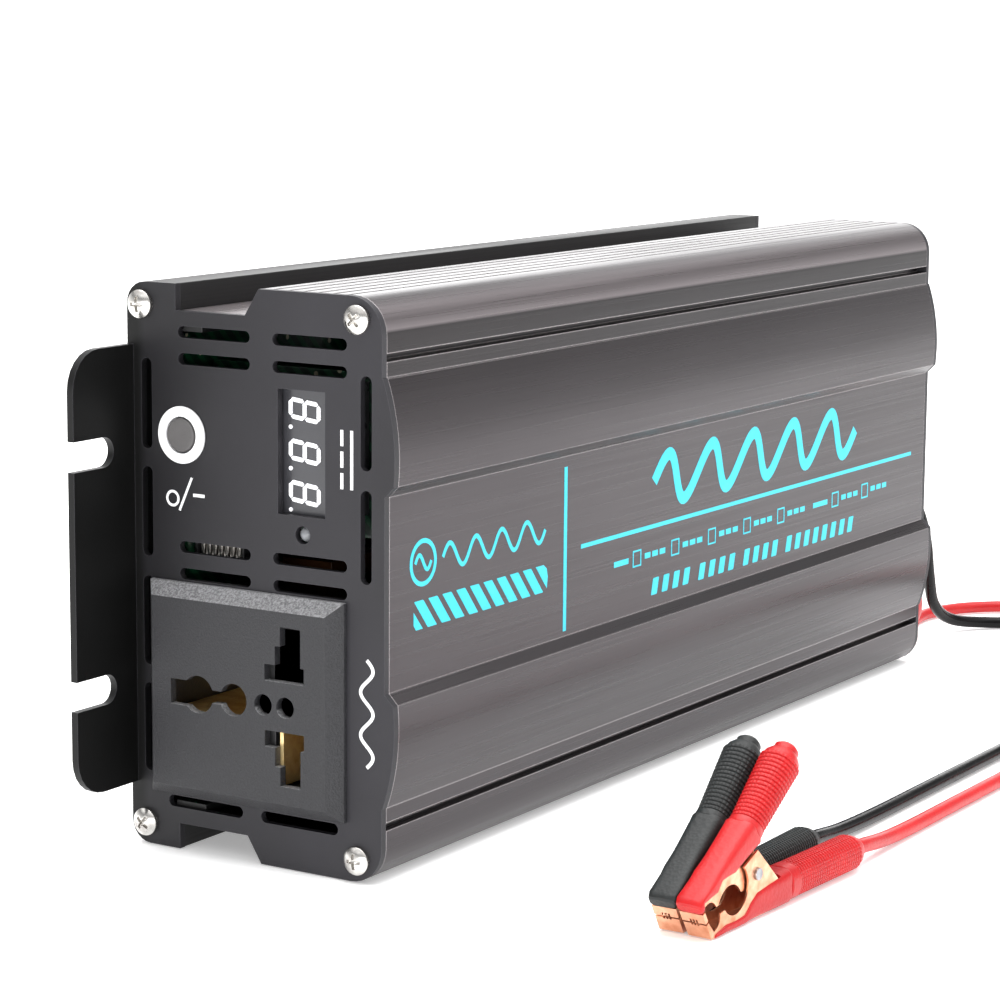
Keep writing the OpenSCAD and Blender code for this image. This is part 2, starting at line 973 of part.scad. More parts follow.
module terminal_block() {
    middle = (positive_z + negative_z) / 2;
    color([0.08, 0.08, 0.08])
        difference() {
            union() {
                block([terminal_x - 9, rear_y, positive_z - 9],
                      [terminal_x + 9, rear_y + block_depth, negative_z + 9]);
                block([terminal_x - 9, rear_y, middle - 1],
                      [terminal_x + 9, rear_y + block_depth + 7, middle + 1]);
            }
            for (z = [positive_z, negative_z])
                bar_y([terminal_x, z], rear_y - 1, rear_y + block_depth + 1, stud_r);
        }
}

stud_inner = 112;

module stud(z) {
    color([0.80, 0.68, 0.40])
        bar_y([terminal_x, z], stud_inner, stud_end, stud_r);
}

module positive_stud() {
    stud(positive_z);
}

module negative_stud() {
    stud(negative_z);
}

module terminal_nuts() {
    nut_y = rear_y + block_depth + ring_sheet;
    color([0.78, 0.78, 0.79])
        for (z = [positive_z, negative_z])
            difference() {
                translate([terminal_x, nut_y + nut_h, z])
                    rotate([90, 0, 0])
                        cylinder(r = nut_r, h = nut_h, $fn = 6);
                bar_y([terminal_x, z], nut_y - 1, nut_y + nut_h + 1, stud_r);
            }
}

// Copper straps from the studs down to the board
module dc_bus_bars() {
    strap_w = 8;
    color([0.80, 0.50, 0.32])
        for (z = [positive_z, negative_z])
            difference() {
                union() {
                    block([board_face_x + 1, stud_inner + 1, z - strap_w / 2],
                          [terminal_x + 5, stud_inner + 2.5, z + strap_w / 2]);
                    block([board_face_x, 96, z - strap_w / 2],
                          [board_face_x + 1.5, stud_inner + 2.5, z + strap_w / 2]);
                }
                bar_y([terminal_x, z], stud_inner - 1, stud_inner + 4, stud_r);
            }
}

// A ring crimped on a lead, its barrel towards +X
module ring_terminal(z) {
    ring_y = rear_y + block_depth;
    color([0.80, 0.78, 0.74])
        difference() {
            union() {
                bar_y([terminal_x, z], ring_y, ring_y + ring_sheet, ring_r);
                block([terminal_x, ring_y, z - 2], [terminal_x + 8, ring_y + ring_sheet, z + 2]);
                bar_x([barrel_y, z], terminal_x + 7, barrel_end_x, barrel_r);
            }
            bar_y([terminal_x, z], ring_y - 1, ring_y + ring_sheet + 1, stud_r);
        }
}

module red_ring_terminal() {
    ring_terminal(positive_z);
}

module black_ring_terminal() {
    ring_terminal(negative_z);
}

// ---- battery leads ----

function boot_place(tip, heading) = tip + [boot_end * sin(heading), boot_end * cos(heading), grip_axis_b];

function clamped(i, last) = max(0, min(last, i));

// Catmull-Rom curve through the route's points
function curve_point(p, i, t) =
    let (last = len(p) - 1)
    let (a = p[clamped(i - 1, last)], b = p[i], c = p[clamped(i + 1, last)], d = p[clamped(i + 2, last)])
    0.5 * (2 * b + (c - a) * t + (2 * a - 5 * b + 4 * c - d) * t * t + (3 * b - a - 3 * c + d) * t * t * t);

function curve(p) = concat(
    [for (i = [0:len(p) - 2], s = [0:lead_steps - 1]) curve_point(p, i, s / lead_steps)],
    [p[len(p) - 1]]
);

function unit(v) = v / norm(v);

function tangent(p, i) = unit(p[clamped(i + 1, len(p) - 1)] - p[clamped(i - 1, len(p) - 1)]);

// A tube along a line of points, with one ring of corners at each; it never runs along the reference
module tube(line, r, reference = [0, 0, 1]) {
    last = len(line) - 1;
    corners = [
        for (i = [0:last])
            let (ahead = tangent(line, i), side = unit(cross(reference, ahead)), over = cross(ahead, side))
                for (k = [0:lead_sides - 1])
                    line[i] + r * (side * cos(k * 360 / lead_sides) + over * sin(k * 360 / lead_sides))
    ];
    sides = [
        for (i = [0:last - 1], k = [0:lead_sides - 1])
            let (next = (k + 1) % lead_sides)
                [i * lead_sides + k, (i + 1) * lead_sides + k, (i + 1) * lead_sides + next, i * lead_sides + next]
    ];
    near_end = [for (k = [0:lead_sides - 1]) k];
    far_end = [for (k = [lead_sides - 1:-1:0]) last * lead_sides + k];
    polyhedron(points = corners, faces = concat(sides, [near_end, far_end]));
}

module red_lead() {
    color([0.85, 0.12, 0.12])
        tube(curve(concat(red_route, [boot_place(red_tip, red_heading)])), lead_d / 2);
}

module black_lead() {
    color([0.07, 0.07, 0.07])
        tube(curve(concat(black_route, [boot_place(black_tip, black_heading)])), lead_d / 2);
}

// ---- clamps ----

module clamp_place(tip, heading) {
    translate(tip)
        rotate([0, 0, -heading])
            children();
}

// A pair of side plates from one (a, b) outline
module plates(across) {
    along_x(across[0], across[1])
        children();
    along_x(-across[1], -across[0])
        children();
}

module mouth_circle(place) {
    translate([place[0], place[1]])
        circle(r = place[2]);
}

module fixed_jaw() {
    color([0.86, 0.62, 0.46]) {
        plates(outer_plate)
            difference() {
                polygon([
                    [0.9, 0.5], [24, 0.5], [24, 5], [pivot[0] + 7.7, pivot[1] - 2.7],
                    [pivot[0] + 0.1, pivot[1] + 4.4],
                    [pivot[0] - 6.8, pivot[1] + 1.3], [10.6, 6.6], [9.5, 5.4], [4, 4.4], [0, 3.4], [-0.8, 2.6]
                ]);
                mouth_circle(mouth_front);
                mouth_circle(mouth_rear_low);
                translate(pivot)
                    circle(r = pin_r);
            }
        along_x(-outer_plate[1], outer_plate[1])
            polygon([[0.9, 0.5], [24, 0.5], [24, 1.1], [0.9, 1.1]]);
        difference() {
            along_x(-outer_plate[1], outer_plate[1])
                polygon([[0, 0.1], [-1.75, 3.0], [-1.06, 3.4], [1.1, 0.9], [1.1, 0.1]]);
            tooth_gaps(2.7, 3.6);
        }
    }
}

// Gaps between the small teeth in the middle of a jaw's tip, from one height to another
module tooth_gaps(low, high) {
    for (i = [-1:1])
        block([i * tooth_pitch - tooth_w / 2, -3, low], [i * tooth_pitch + tooth_w / 2, 0, high]);
}

// Plastic sleeve around the fixed jaw and the round grip behind it
module fixed_grip() {
    color([0.85, 0.12, 0.12]) {
        difference() {
            along_x(-sleeve_half, sleeve_half)
                polygon([
                    [1.1, 0], [grip_start, 0], [grip_start, 5.8], [23.6, 5.6], [15.6, 5.4], [13.4, 4.2],
                    [11.3, 1.9], [8, 1.7], [4.9, 1.9], [1.1, 0.6]
                ]);
            along_x(-outer_plate[1], outer_plate[1])
                polygon([[0, 0.5], [24, 0.5], [24, 9], [0, 9]]);
        }
        translate([0, grip_start - eps, grip_axis_b])
            rotate([-90, 0, 0])
                rotate_extrude()
                    polygon([
                        [0, 0], [grip_r - 0.2, 0], [grip_r, 0.8], [grip_r, grip_end - grip_start - 0.8],
                        [grip_r - 0.4, grip_end - grip_start], [1.9, boot_end - grip_start + eps],
                        [0, boot_end - grip_start + eps]
                    ]);
    }
}

module moving_jaw() {
    color([0.86, 0.62, 0.46]) {
        plates(inner_plate)
            difference() {
                union() {
                    polygon([
                        [-3, 6.9], [-1.6, 4.1], [0.3, 4.8], [3.7, 5.5], [8, 5.6], [12.5, 6.2],
                        [pivot[0], pivot[1] - 3], [pivot[0] + 2.6, pivot[1]], [15.2, 13], [12, 15],
                        [9, 13.4], [2.6, 9.6]
                    ]);
                    translate(pivot)
                        circle(r = 3);
                }
                mouth_circle(mouth_front);
                mouth_circle(mouth_rear_high);
                translate(pivot)
                    circle(r = pin_r + pin_clearance);
            }
        difference() {
            along_x(-outer_plate[1], outer_plate[1])
                polygon([[-1.98, 3.35], [-3.1, 5.25], [-2.4, 5.6], [-1.3, 3.8]]);
            tooth_gaps(3.2, 4);
        }
    }
}

// Plastic sleeve over the moving jaw and the round grip that continues it
module moving_grip() {
    color([0.85, 0.12, 0.12]) {
        difference() {
            along_x(-sleeve_half, sleeve_half)
                polygon([
                    [-3.13, 5.3], [-2.5, 5.7], [-3, 7.3], [2, 7.9], [3.4, 9.9], [8.1, 10.15], [15.2, 13.35],
                    [17.4, 13.4], handle_start + 3.3 * [sin(handle_angle), -cos(handle_angle)],
                    handle_start - 3.3 * [sin(handle_angle), -cos(handle_angle)], [-3.4, 8.3], [-4.3, 7.5]
                ]);
            along_x(-inner_plate[1], inner_plate[1])
                polygon([[-3.1, 6], [-3.1, 7.1], [2.6, 9.8], [9, 13.6], [12.1, 15.2], [15.4, 13.1], [16, 6]]);
        }
        translate([0, handle_start[0], handle_start[1]])
            rotate([handle_angle - 90, 0, 0])
                rotate_extrude()
                    polygon([
                        [0, -0.3], [handle_r[0] - 0.2, -0.3], [handle_r[0], 0.4],
                        [handle_r[1], handle_length - 1.6], [handle_r[1] - 0.9, handle_length - 0.2],
                        [nub_r, handle_length + 0.2], [nub_r, handle_length + 1.6],
                        [nub_r - 0.4, handle_length + 2], [0, handle_length + 2]
                    ]);
    }
}

module pivot_pin() {
    color([0.80, 0.80, 0.80]) {
        bar_x(pivot, -outer_plate[1], outer_plate[1], pin_r);
        for (side = [0, 1])
            mirror([side, 0, 0])
                bar_x(pivot, outer_plate[1] - eps, outer_plate[1] + 0.5, pin_head_r);
    }
}

// Coils around the pin, with one leg resting on the fixed jaw
module clamp_spring() {
    coil_r = 1.3;
    spring_wire_r = 0.25;
    coil_pitch = 0.62;
    coil_side = -0.93;
    coils = 3;
    coil_steps = 10;
    leg = [[coil_side, 7, -6.6], [coil_side, 4, -4.4], [coil_side, 1.9, -2]];
    coil = [
        for (i = [0:coils * coil_steps])
            let (turn = i / coil_steps)
                [coil_pitch * turn + coil_side, coil_r * cos(360 * turn), coil_r * sin(360 * turn)]
    ];
    color([0.70, 0.70, 0.72])
        translate([0, pivot[0], pivot[1]])
            tube(concat(leg, coil), spring_wire_r, [1, 0, 0]);
}

module red_fixed_jaw() {
    clamp_place(red_tip, red_heading)
        fixed_jaw();
}

module red_fixed_grip() {
    clamp_place(red_tip, red_heading)
        fixed_grip();
}

module red_moving_jaw() {
    clamp_place(red_tip, red_heading)
        moving_jaw();
}

module red_moving_grip() {
    clamp_place(red_tip, red_heading)
        moving_grip();
}

module red_pivot_pin() {
    clamp_place(red_tip, red_heading)
        pivot_pin();
}

module red_spring() {
    clamp_place(red_tip, red_heading)
        clamp_spring();
}

module black_fixed_jaw() {
    clamp_place(black_tip, black_heading)
        fixed_jaw();
}

module black_fixed_grip() {
    color([0.12, 0.13, 0.13])
        clamp_place(black_tip, black_heading)
            fixed_grip();
}

module black_moving_jaw() {
    clamp_place(black_tip, black_heading)
        moving_jaw();
}

module black_moving_grip() {
    color([0.12, 0.13, 0.13])
        clamp_place(black_tip, black_heading)
            moving_grip();
}

module black_pivot_pin() {
    clamp_place(black_tip, black_heading)
        pivot_pin();
}

module black_spring() {
    clamp_place(black_tip, black_heading)
        clamp_spring();
}

cover_shell();
base_shell();
front_panel();
rear_panel();
front_panel_screws();
rear_panel_screws();
button_ring();
power_button();
switch_body();
display_module();
display_digits();
status_led();
control_board();
socket_faceplate();
socket_body();
live_contact();
neutral_contact();
earth_contact();
output_wires();
main_board();
board_standoffs();
board_screws();
transformer_cores();
transformer_windings();
choke_core();
choke_winding();
bus_capacitors();
input_capacitors();
power_transistors();
heat_sinks();
blade_fuses();
fan_frame();
fan_rotor();
fan_screws();
terminal_block();
positive_stud();
negative_stud();
terminal_nuts();
dc_bus_bars();
red_ring_terminal();
black_ring_terminal();
red_lead();
black_lead();
red_fixed_jaw();
red_fixed_grip();
red_moving_jaw();
red_moving_grip();
red_pivot_pin();
red_spring();
black_fixed_jaw();
black_fixed_grip();
black_moving_jaw();
black_moving_grip();
black_pivot_pin();
black_spring();
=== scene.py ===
"""Looks of the power inverter: finishes for its CAD pieces, moulded clamp grips, leads and printed marks.

Parts and marks are in millimetres, turned into Blender's metres where a mesh is made. The camera, the floor,
the lights and the grain inside a material are in metres.
X is the thickness of the case, Y its length (outlets towards -Y) and Z is up.
"""

import math

import bmesh
import bpy
from mathutils import Matrix, Vector


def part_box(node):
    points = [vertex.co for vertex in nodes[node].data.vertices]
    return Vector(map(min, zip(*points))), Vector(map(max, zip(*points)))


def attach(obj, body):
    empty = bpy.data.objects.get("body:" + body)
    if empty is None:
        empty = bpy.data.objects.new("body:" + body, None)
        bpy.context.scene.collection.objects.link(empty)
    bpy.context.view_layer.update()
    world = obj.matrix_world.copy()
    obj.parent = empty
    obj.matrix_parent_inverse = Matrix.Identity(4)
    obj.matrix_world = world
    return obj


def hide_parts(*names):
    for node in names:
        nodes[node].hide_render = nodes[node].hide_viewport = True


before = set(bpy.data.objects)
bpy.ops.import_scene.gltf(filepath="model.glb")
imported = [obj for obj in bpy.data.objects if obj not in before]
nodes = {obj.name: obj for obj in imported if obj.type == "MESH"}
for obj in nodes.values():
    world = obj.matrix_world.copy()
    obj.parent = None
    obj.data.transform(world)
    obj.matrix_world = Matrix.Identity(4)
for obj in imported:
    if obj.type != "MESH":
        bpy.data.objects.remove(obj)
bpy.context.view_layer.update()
scene = bpy.context.scene

MM = 0.001


def node_box(name):
    """Lowest and highest corner of a CAD node, in millimetres."""
    low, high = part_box(name)
    return low / MM, high / MM


# ---- camera ----

CAMERA_PLACE = (0.3380, -0.5722, 0.1623)
CAMERA_TURNS = (32.13, 9.23, 0.444)     # azimuth, elevation and roll in degrees
CAMERA_LENS = 109.67                    # for a sensor 36 mm wide


def make_camera():
    """The camera stands in front of the outlet end, turned towards the printed cover."""
    azimuth, elevation, roll = (math.radians(turn) for turn in CAMERA_TURNS)
    back = Vector((math.sin(azimuth) * math.cos(elevation), -math.cos(azimuth) * math.cos(elevation),
                   math.sin(elevation)))
    level = Vector((math.cos(azimuth), math.sin(azimuth), 0))
    right = math.cos(roll) * level + math.sin(roll) * back.cross(level)
    up = back.cross(right)
    camera = bpy.data.objects.new("camera", bpy.data.cameras.new("camera"))
    camera.data.lens = CAMERA_LENS
    camera.data.sensor_width = 36
    place = Matrix((right, up, back)).transposed().to_4x4()
    place.translation = Vector(CAMERA_PLACE)
    camera.matrix_world = place
    scene.collection.objects.link(camera)
    scene.camera = camera


make_camera()


# ---- finishes ----

def tone(red, green, blue):
    """A screen colour from 0 to 255 as the linear colour that a shader takes."""
    def linear(value):
        value /= 255
        return value / 12.92 if value <= 0.04045 else ((value + 0.055) / 1.055) ** 2.4
    return (linear(red), linear(green), linear(blue), 1)


class Finish:
    """A procedural material around one Principled shader, its patterns laid in the object's own metres."""

    def __init__(self, name, **sockets):
        self.material = bpy.data.materials.new(name)
        self.material.use_nodes = True
        self.tree = self.material.node_tree
        self.shader = self.tree.nodes["Principled BSDF"]
        for socket, value in sockets.items():
            self.shader.inputs[socket.replace("_", " ")].default_value = value
        self.place = self.add("ShaderNodeTexCoord").outputs["Object"]
        self.normal = None

    def add(self, kind, **settings):
        node = self.tree.nodes.new(kind)
        for setting, value in settings.items():
            setattr(node, setting, value)
        return node

    def link(self, source, node, socket):
        self.tree.links.new(source, node.inputs[socket])

    def stretched(self, stretch):
        """The place of a point, scaled along each axis."""
        mapping = self.add("ShaderNodeMapping")
        mapping.inputs["Scale"].default_value = stretch
        self.link(self.place, mapping, "Vector")
        return mapping.outputs["Vector"]

    def noise(self, scale, detail=3, stretch=(1, 1, 1), rough=0.55):
        node = self.add("ShaderNodeTexNoise")
        node.inputs["Scale"].default_value = scale
        node.inputs["Detail"].default_value = detail
        node.inputs["Roughness"].default_value = rough
        self.link(self.stretched(stretch), node, "Vector")
        return node.outputs["Fac"]

    def cells(self, scale):
        node = self.add("ShaderNodeTexVoronoi")
        node.inputs["Scale"].default_value = scale
        self.link(self.place, node, "Vector")
        return node.outputs["Distance"]

    def waves(self, scale, direction):
        node = self.add("ShaderNodeTexWave", bands_direction=direction)
        node.inputs["Scale"].default_value = scale
        self.link(self.place, node, "Vector")
        return node.outputs["Fac"]

    def axis(self, vector, name):
        """The X, Y or Z part of a vector."""
        node = self.add("ShaderNodeSeparateXYZ")
        self.link(vector, node, "Vector")
        return node.outputs[name]

    def ramp(self, value, start, end, low=0.0, high=1.0):
        node = self.add("ShaderNodeMapRange")
        for socket, number in (("From Min", start), ("From Max", end), ("To Min", low), ("To Max", high)):
            node.inputs[socket].default_value = number
        self.link(value, node, "Value")
        return node.outputs["Result"]

    def between(self, axis, start, end, low=0.0, high=1.0):
        """A ramp between two places along an axis, in millimetres."""
        return self.ramp(self.axis(self.place, axis), start * MM, end * MM, low, high)

    def blend(self, factor, low, high):
        """Mixes two colours, each a fixed colour or another blend."""
        node = self.add("ShaderNodeMix", data_type="RGBA")
        self.link(factor, node, "Factor")
        for index, colour in ((6, low), (7, high)):
            if isinstance(colour, tuple):
                node.inputs[index].default_value = colour
            else:
                self.tree.links.new(colour, node.inputs[index])
        return node.outputs[2]

    def edge(self, radius, low=0.02, high=0.25):
        """1 along the outer and inner edges of the shape, 0 on its faces."""
        bevel = self.add("ShaderNodeBevel", samples=6)
        bevel.inputs["Radius"].default_value = radius
        geometry = self.add("ShaderNodeNewGeometry")
        dot = self.add("ShaderNodeVectorMath", operation="DOT_PRODUCT")
        self.link(bevel.outputs["Normal"], dot, 0)
        self.link(geometry.outputs["Normal"], dot, 1)
        return self.ramp(dot.outputs["Value"], 1 - low, 1 - high)

    def both(self, one, other):
        """The product of two factors: 1 only where both of them are."""
        node = self.add("ShaderNodeMath", operation="MULTIPLY")
        self.link(one, node, 0)
        self.link(other, node, 1)
        return node.outputs["Value"]

    def colour(self, value):
        self.link(value, self.shader, "Base Color")

    def roughness(self, value, start, end, low, high):
        self.link(self.ramp(value, start, end, low, high), self.shader, "Roughness")

    def bump(self, height, distance, strength=1.0):
        node = self.add("ShaderNodeBump")
        node.inputs["Distance"].default_value = distance
        node.inputs["Strength"].default_value = strength
        self.link(height, node, "Height")
        if self.normal:
            self.link(self.normal, node, "Normal")
        self.normal = node.outputs["Normal"]
        self.link(self.normal, self.shader, "Normal")


# Heights of the painted shade band and the painted highlight band on the cover, and its top flank ribs by
# height and depth, for the painted shade in their grooves
COVER_TOP = node_box("cover_shell")[1].z
PAINTED_SHADE_BAND = COVER_TOP - 14.8
PAINTED_HIGHLIGHT_BAND = COVER_TOP - 6.6
BANDS_FADE = (COVER_TOP - 2.8, COVER_TOP - 0.6)
RIB_FOOT = (COVER_TOP - 1, COVER_TOP - 0.9)
RIB_HEAD = (COVER_TOP - 0.16, COVER_TOP - 0.08)
RIB_FLANK = (20.8, 21.2)

# Painted shadow and painted shade on the panels, placed across their width from the side where their feet are
PANEL_FOOT = node_box("front_panel")[0].x
FOOT_PAINTED_SHADOW = (PANEL_FOOT + 2.4, PANEL_FOOT + 4.4)
FOOT_SHADE = (PANEL_FOOT + 4.9, 12)


def cover_painted_light_bands(finish, metal):
    """Painted shade as a dark band on the cover, with a band of painted highlight above it, both fading out
    towards its top.
    """
    shade = finish.between("Z", PAINTED_SHADE_BAND, PAINTED_SHADE_BAND + 0.4, 0, 0.6)
    shaded = finish.blend(shade, metal, tone(30, 29, 29))
    light = finish.between("Z", PAINTED_HIGHLIGHT_BAND, PAINTED_HIGHLIGHT_BAND + 0.6)
    shaded_and_lit = finish.blend(light, shaded, tone(132, 125, 127))
    return finish.blend(finish.between("Z", *BANDS_FADE), shaded_and_lit, metal)


def painted_groove_shade(finish, metal):
    """Painted shade: black in the grooves of the cover's ribbed top, below the rib heads and short of the
    right flank.
    """
    below_heads = finish.between("Z", *RIB_HEAD, 1, 0)
    beside_flank = finish.between("X", *RIB_FLANK, 1, 0)
    groove = finish.both(below_heads, beside_flank)
    return finish.blend(finish.both(groove, finish.between("Z", *RIB_FOOT)), metal, tone(10, 10, 10))


def extruded_metal(name, dark, light, edge_highlight_colour, metallic, rough, on_cover=False):
    """Anodised aluminium with the fine die lines of an extrusion along Y, and a painted highlight along its
    edges.
    """
    finish = Finish(name, Metallic=metallic, Anisotropic=0.4)
    cloud = finish.noise(18, 3, (1, 0.35, 1))
    lines = finish.noise(2600, 2, (1, 0.004, 1), 0.7)
    streaks = finish.noise(420, 3, (1, 0.01, 1), 0.6)
    base = finish.blend(finish.ramp(cloud, 0.3, 0.7), dark, light)
    metal = finish.blend(finish.ramp(streaks, 0.35, 0.75, 0, 0.35), base, dark)
    # on the cover: a painted shade band and a painted highlight band
    if on_cover:
        metal = cover_painted_light_bands(finish, metal)
    # painted highlight along the edges
    metal = finish.blend(finish.edge(0.0004, 0.004, 0.05), metal, edge_highlight_colour)
    # on the cover: painted shade in the rib grooves
    if on_cover:
        metal = painted_groove_shade(finish, metal)
    finish.colour(metal)
    finish.roughness(lines, 0.3, 0.7, rough - 0.05, rough + 0.07)
    finish.bump(lines, 0.00003, 0.35)
    finish.bump(streaks, 0.00006, 0.3)
    return finish.material


def coated_sheet(name, dark, light, edge_highlight_colour, rough, grain):
    """Coated sheet with lighter edges, partly rubbed wear and partly painted highlight, with painted shadow
    turning the panel's foot black and painted shade beside it.
    """
    finish = Finish(name, Metallic=0.1, Specular_IOR_Level=0.3)
    cloud = finish.noise(30, 4)
    pores = finish.noise(2400, 2)
    coat = finish.blend(finish.ramp(cloud, 0.3, 0.7), dark, light)
    # painted shade darkening the sheet beside its foot
    shaded = finish.blend(finish.between("X", *FOOT_SHADE, 0.55, 0), coat, tone(12, 12, 13))
    # painted shadow: the foot itself black
    base = finish.blend(finish.between("X", *FOOT_PAINTED_SHADOW), tone(8, 8, 8), shaded)
    # lighter edges: partly rubbed wear, partly painted highlight
    finish.colour(finish.blend(finish.edge(0.0003, 0.04, 0.5), base, edge_highlight_colour))
    finish.roughness(cloud, 0.3, 0.7, rough - 0.04, rough + 0.05)
    finish.bump(pores, grain, 0.5)
    return finish.material


def moulded(name, dark, light, rough, grain_scale, grain, **sockets):
    """Moulded plastic or rubber with a faint cloud in its colour and a spark-eroded grain."""
    finish = Finish(name, **sockets)
    cloud = finish.noise(120, 3)
    pores = finish.cells(grain_scale)
    finish.colour(finish.blend(finish.ramp(cloud, 0.3, 0.7), dark, light))
    finish.roughness(cloud, 0.3, 0.7, rough - 0.05, rough + 0.06)
    finish.bump(pores, grain, 0.5)
    return finish.material


def grained_plate(name, dark, light, top):
    """Coarsely spark-eroded plastic, with a painted highlight in the grain of its upward slopes."""
    finish = Finish(name, Specular_IOR_Level=0.4)
    grain = finish.noise(2300, 3, rough=0.7)
    slope = finish.axis(finish.add("ShaderNodeNewGeometry").outputs["Normal"], "Z")
    speckled = finish.blend(finish.ramp(grain, 0.35, 0.65), dark, light)
    painted_slope_highlight = finish.blend(finish.ramp(grain, 0.4, 0.6, 0.25, 0.85), light, top)
    # painted highlight on faces that slope upwards
    finish.colour(finish.blend(finish.ramp(slope, 0.25, 0.45), speckled, painted_slope_highlight))
    finish.roughness(grain, 0.3, 0.7, 0.45, 0.6)
    finish.bump(grain, 0.0003, 0.7)
    return finish.material


def plated(name, dark, light, rough, scratch=0.00002):
    """Plated or bare metal with faint tarnish and fine scratches."""
    finish = Finish(name, Metallic=1.0)
    tarnish = finish.noise(350, 5)
    scratches = finish.noise(900, 3, (1, 7, 1))
    finish.colour(finish.blend(finish.ramp(tarnish, 0.35, 0.7), light, dark))
    finish.roughness(tarnish, 0.3, 0.7, rough - 0.06, rough + 0.1)
    finish.bump(scratches, scratch, 0.5)
    return finish.material


def printed_ink(name, dark, light, rough=0.45, glow=0.0):
    """Screen-printed ink with a faint mesh in it."""
    finish = Finish(name, Emission_Strength=glow, Emission_Color=light)
    mesh = finish.noise(1500, 2)
    finish.colour(finish.blend(finish.ramp(mesh, 0.3, 0.7), dark, light))
    finish.roughness(mesh, 0.3, 0.7, rough - 0.05, rough + 0.05)
    finish.bump(mesh, 0.00001, 0.4)
    return finish.material


def circuit_board(name):
    """Green solder mask over copper tracks, with bare pads."""
    finish = Finish(name, Coat_Weight=0.3)
    tracks = finish.waves(170, "DIAGONAL")
    pads = finish.cells(260)
    mask = finish.blend(finish.ramp(tracks, 0.55, 0.6), tone(6, 44, 28), tone(14, 72, 44))
    finish.colour(finish.blend(finish.ramp(pads, 0.16, 0.12), mask, tone(190, 185, 160)))
    finish.roughness(tracks, 0, 1, 0.3, 0.42)
    finish.bump(tracks, 0.00004, 0.4)
    return finish.material


def wound_wire(name):
    """Enamelled wire laid turn by turn along Y."""
    finish = Finish(name, Metallic=0.9)
    turns = finish.waves(420, "Y")
    cloud = finish.noise(150, 3)
    finish.colour(finish.blend(finish.ramp(cloud, 0.3, 0.7), tone(150, 146, 140), tone(204, 200, 194)))
    finish.roughness(turns, 0, 1, 0.3, 0.45)
    finish.bump(turns, 0.0004, 0.8)
    return finish.material


def wrapped_film(name):
    """Printed plastic sleeve of a capacitor, with a lighter stripe pattern."""
    finish = Finish(name, Coat_Weight=0.4)
    stripe = finish.waves(14, "Z")
    finish.colour(finish.blend(finish.ramp(stripe, 0.88, 0.92), tone(24, 26, 34), tone(150, 156, 168)))
    finish.roughness(finish.noise(60, 2), 0.3, 0.7, 0.28, 0.4)
    return finish.material


# For extruded metal and coated sheet the third tone is the lighter edge: a painted highlight, on coated sheet
# partly rubbed wear too
FINISHES = {
    "cover": extruded_metal("gunmetal_cover", tone(64, 60, 62), tone(75, 71, 73), tone(168, 162, 163),
                            0.9, 0.3, on_cover=True),
    "base": extruded_metal("black_base", tone(5, 5, 5), tone(9, 9, 10), tone(30, 30, 31), 0.1, 0.5),
    "panel": coated_sheet("dark_panel", tone(40, 39, 42), tone(47, 46, 50), tone(72, 71, 76), 0.48, 0.00003),
    # the faceplate's last tone is the painted highlight on its upward slopes
    "faceplate": grained_plate("faceplate_plastic", tone(36, 36, 38), tone(50, 50, 53), tone(150, 150, 152)),
    "black_plastic": moulded("black_plastic", tone(18, 18, 19), tone(30, 30, 31), 0.42, 1800, 0.00006),
    "white_plastic": moulded("white_plastic", tone(232, 232, 234), tone(246, 246, 247), 0.35, 1800, 0.00004),
    "button": moulded("button_plastic", tone(74, 72, 72), tone(88, 86, 86), 0.5, 2200, 0.00006),
    "display_face": moulded("display_face", tone(52, 52, 56), tone(60, 60, 64), 0.3, 2500, 0.00002,
                            Coat_Weight=0.2),
    "digits": printed_ink("lit_digits", tone(226, 228, 236), tone(255, 255, 255), 0.4, 0.35),
    "led": moulded("led_lens", tone(112, 114, 118), tone(170, 172, 176), 0.12, 900, 0.00004,
                   Transmission_Weight=0.35, IOR=1.5),
    "steel": plated("plated_steel", tone(176, 172, 168), tone(232, 230, 226), 0.22),
    "zinc": plated("zinc_plate", tone(118, 120, 124), tone(172, 173, 176), 0.36),
    "brass": plated("brass", tone(216, 184, 122), tone(250, 226, 170), 0.46),
    "copper": plated("copper_plate", tone(204, 138, 104), tone(240, 188, 156), 0.34, 0.000003),
    "aluminium": extruded_metal("plain_aluminium", tone(160, 162, 165), tone(188, 190, 192),
                                tone(215, 216, 218), 0.95, 0.36),
    "ferrite": moulded("ferrite_core", tone(34, 34, 36), tone(52, 52, 54), 0.62, 700, 0.0002),
    "tape": moulded("winding_tape", tone(20, 20, 22), tone(30, 30, 32), 0.38, 500, 0.00005),
    "board": circuit_board("circuit_board"),
    "windings": wound_wire("copper_windings"),
    "film": wrapped_film("capacitor_film"),
    "fuse": moulded("fuse_plastic", tone(52, 30, 12), tone(66, 38, 16), 0.3, 900, 0.00003),
    "fan_plastic": moulded("fan_plastic", tone(20, 20, 21), tone(33, 33, 35), 0.38, 1300, 0.0001),
    "red_pvc": moulded("red_pvc", tone(172, 16, 20), tone(188, 26, 28), 0.36, 1400, 0.00006,
                       Specular_IOR_Level=0.35),
    "black_pvc": moulded("black_pvc", tone(6, 6, 7), tone(12, 12, 13), 0.22, 1400, 0.00003,
                         Specular_IOR_Level=0.14),
    "black_rubber": moulded("black_rubber", tone(24, 26, 26), tone(34, 36, 36), 0.5, 1400, 0.0001,
                            Specular_IOR_Level=0.35),
    "cyan_ink": printed_ink("cyan_ink", tone(24, 186, 208), tone(34, 200, 222)),
    "white_ink": printed_ink("white_ink", tone(232, 232, 234), tone(248, 248, 250)),
}


# ---- meshes ----

def dress(piece, finish):
    piece.data.materials.clear()
    piece.data.materials.append(FINISHES[finish])


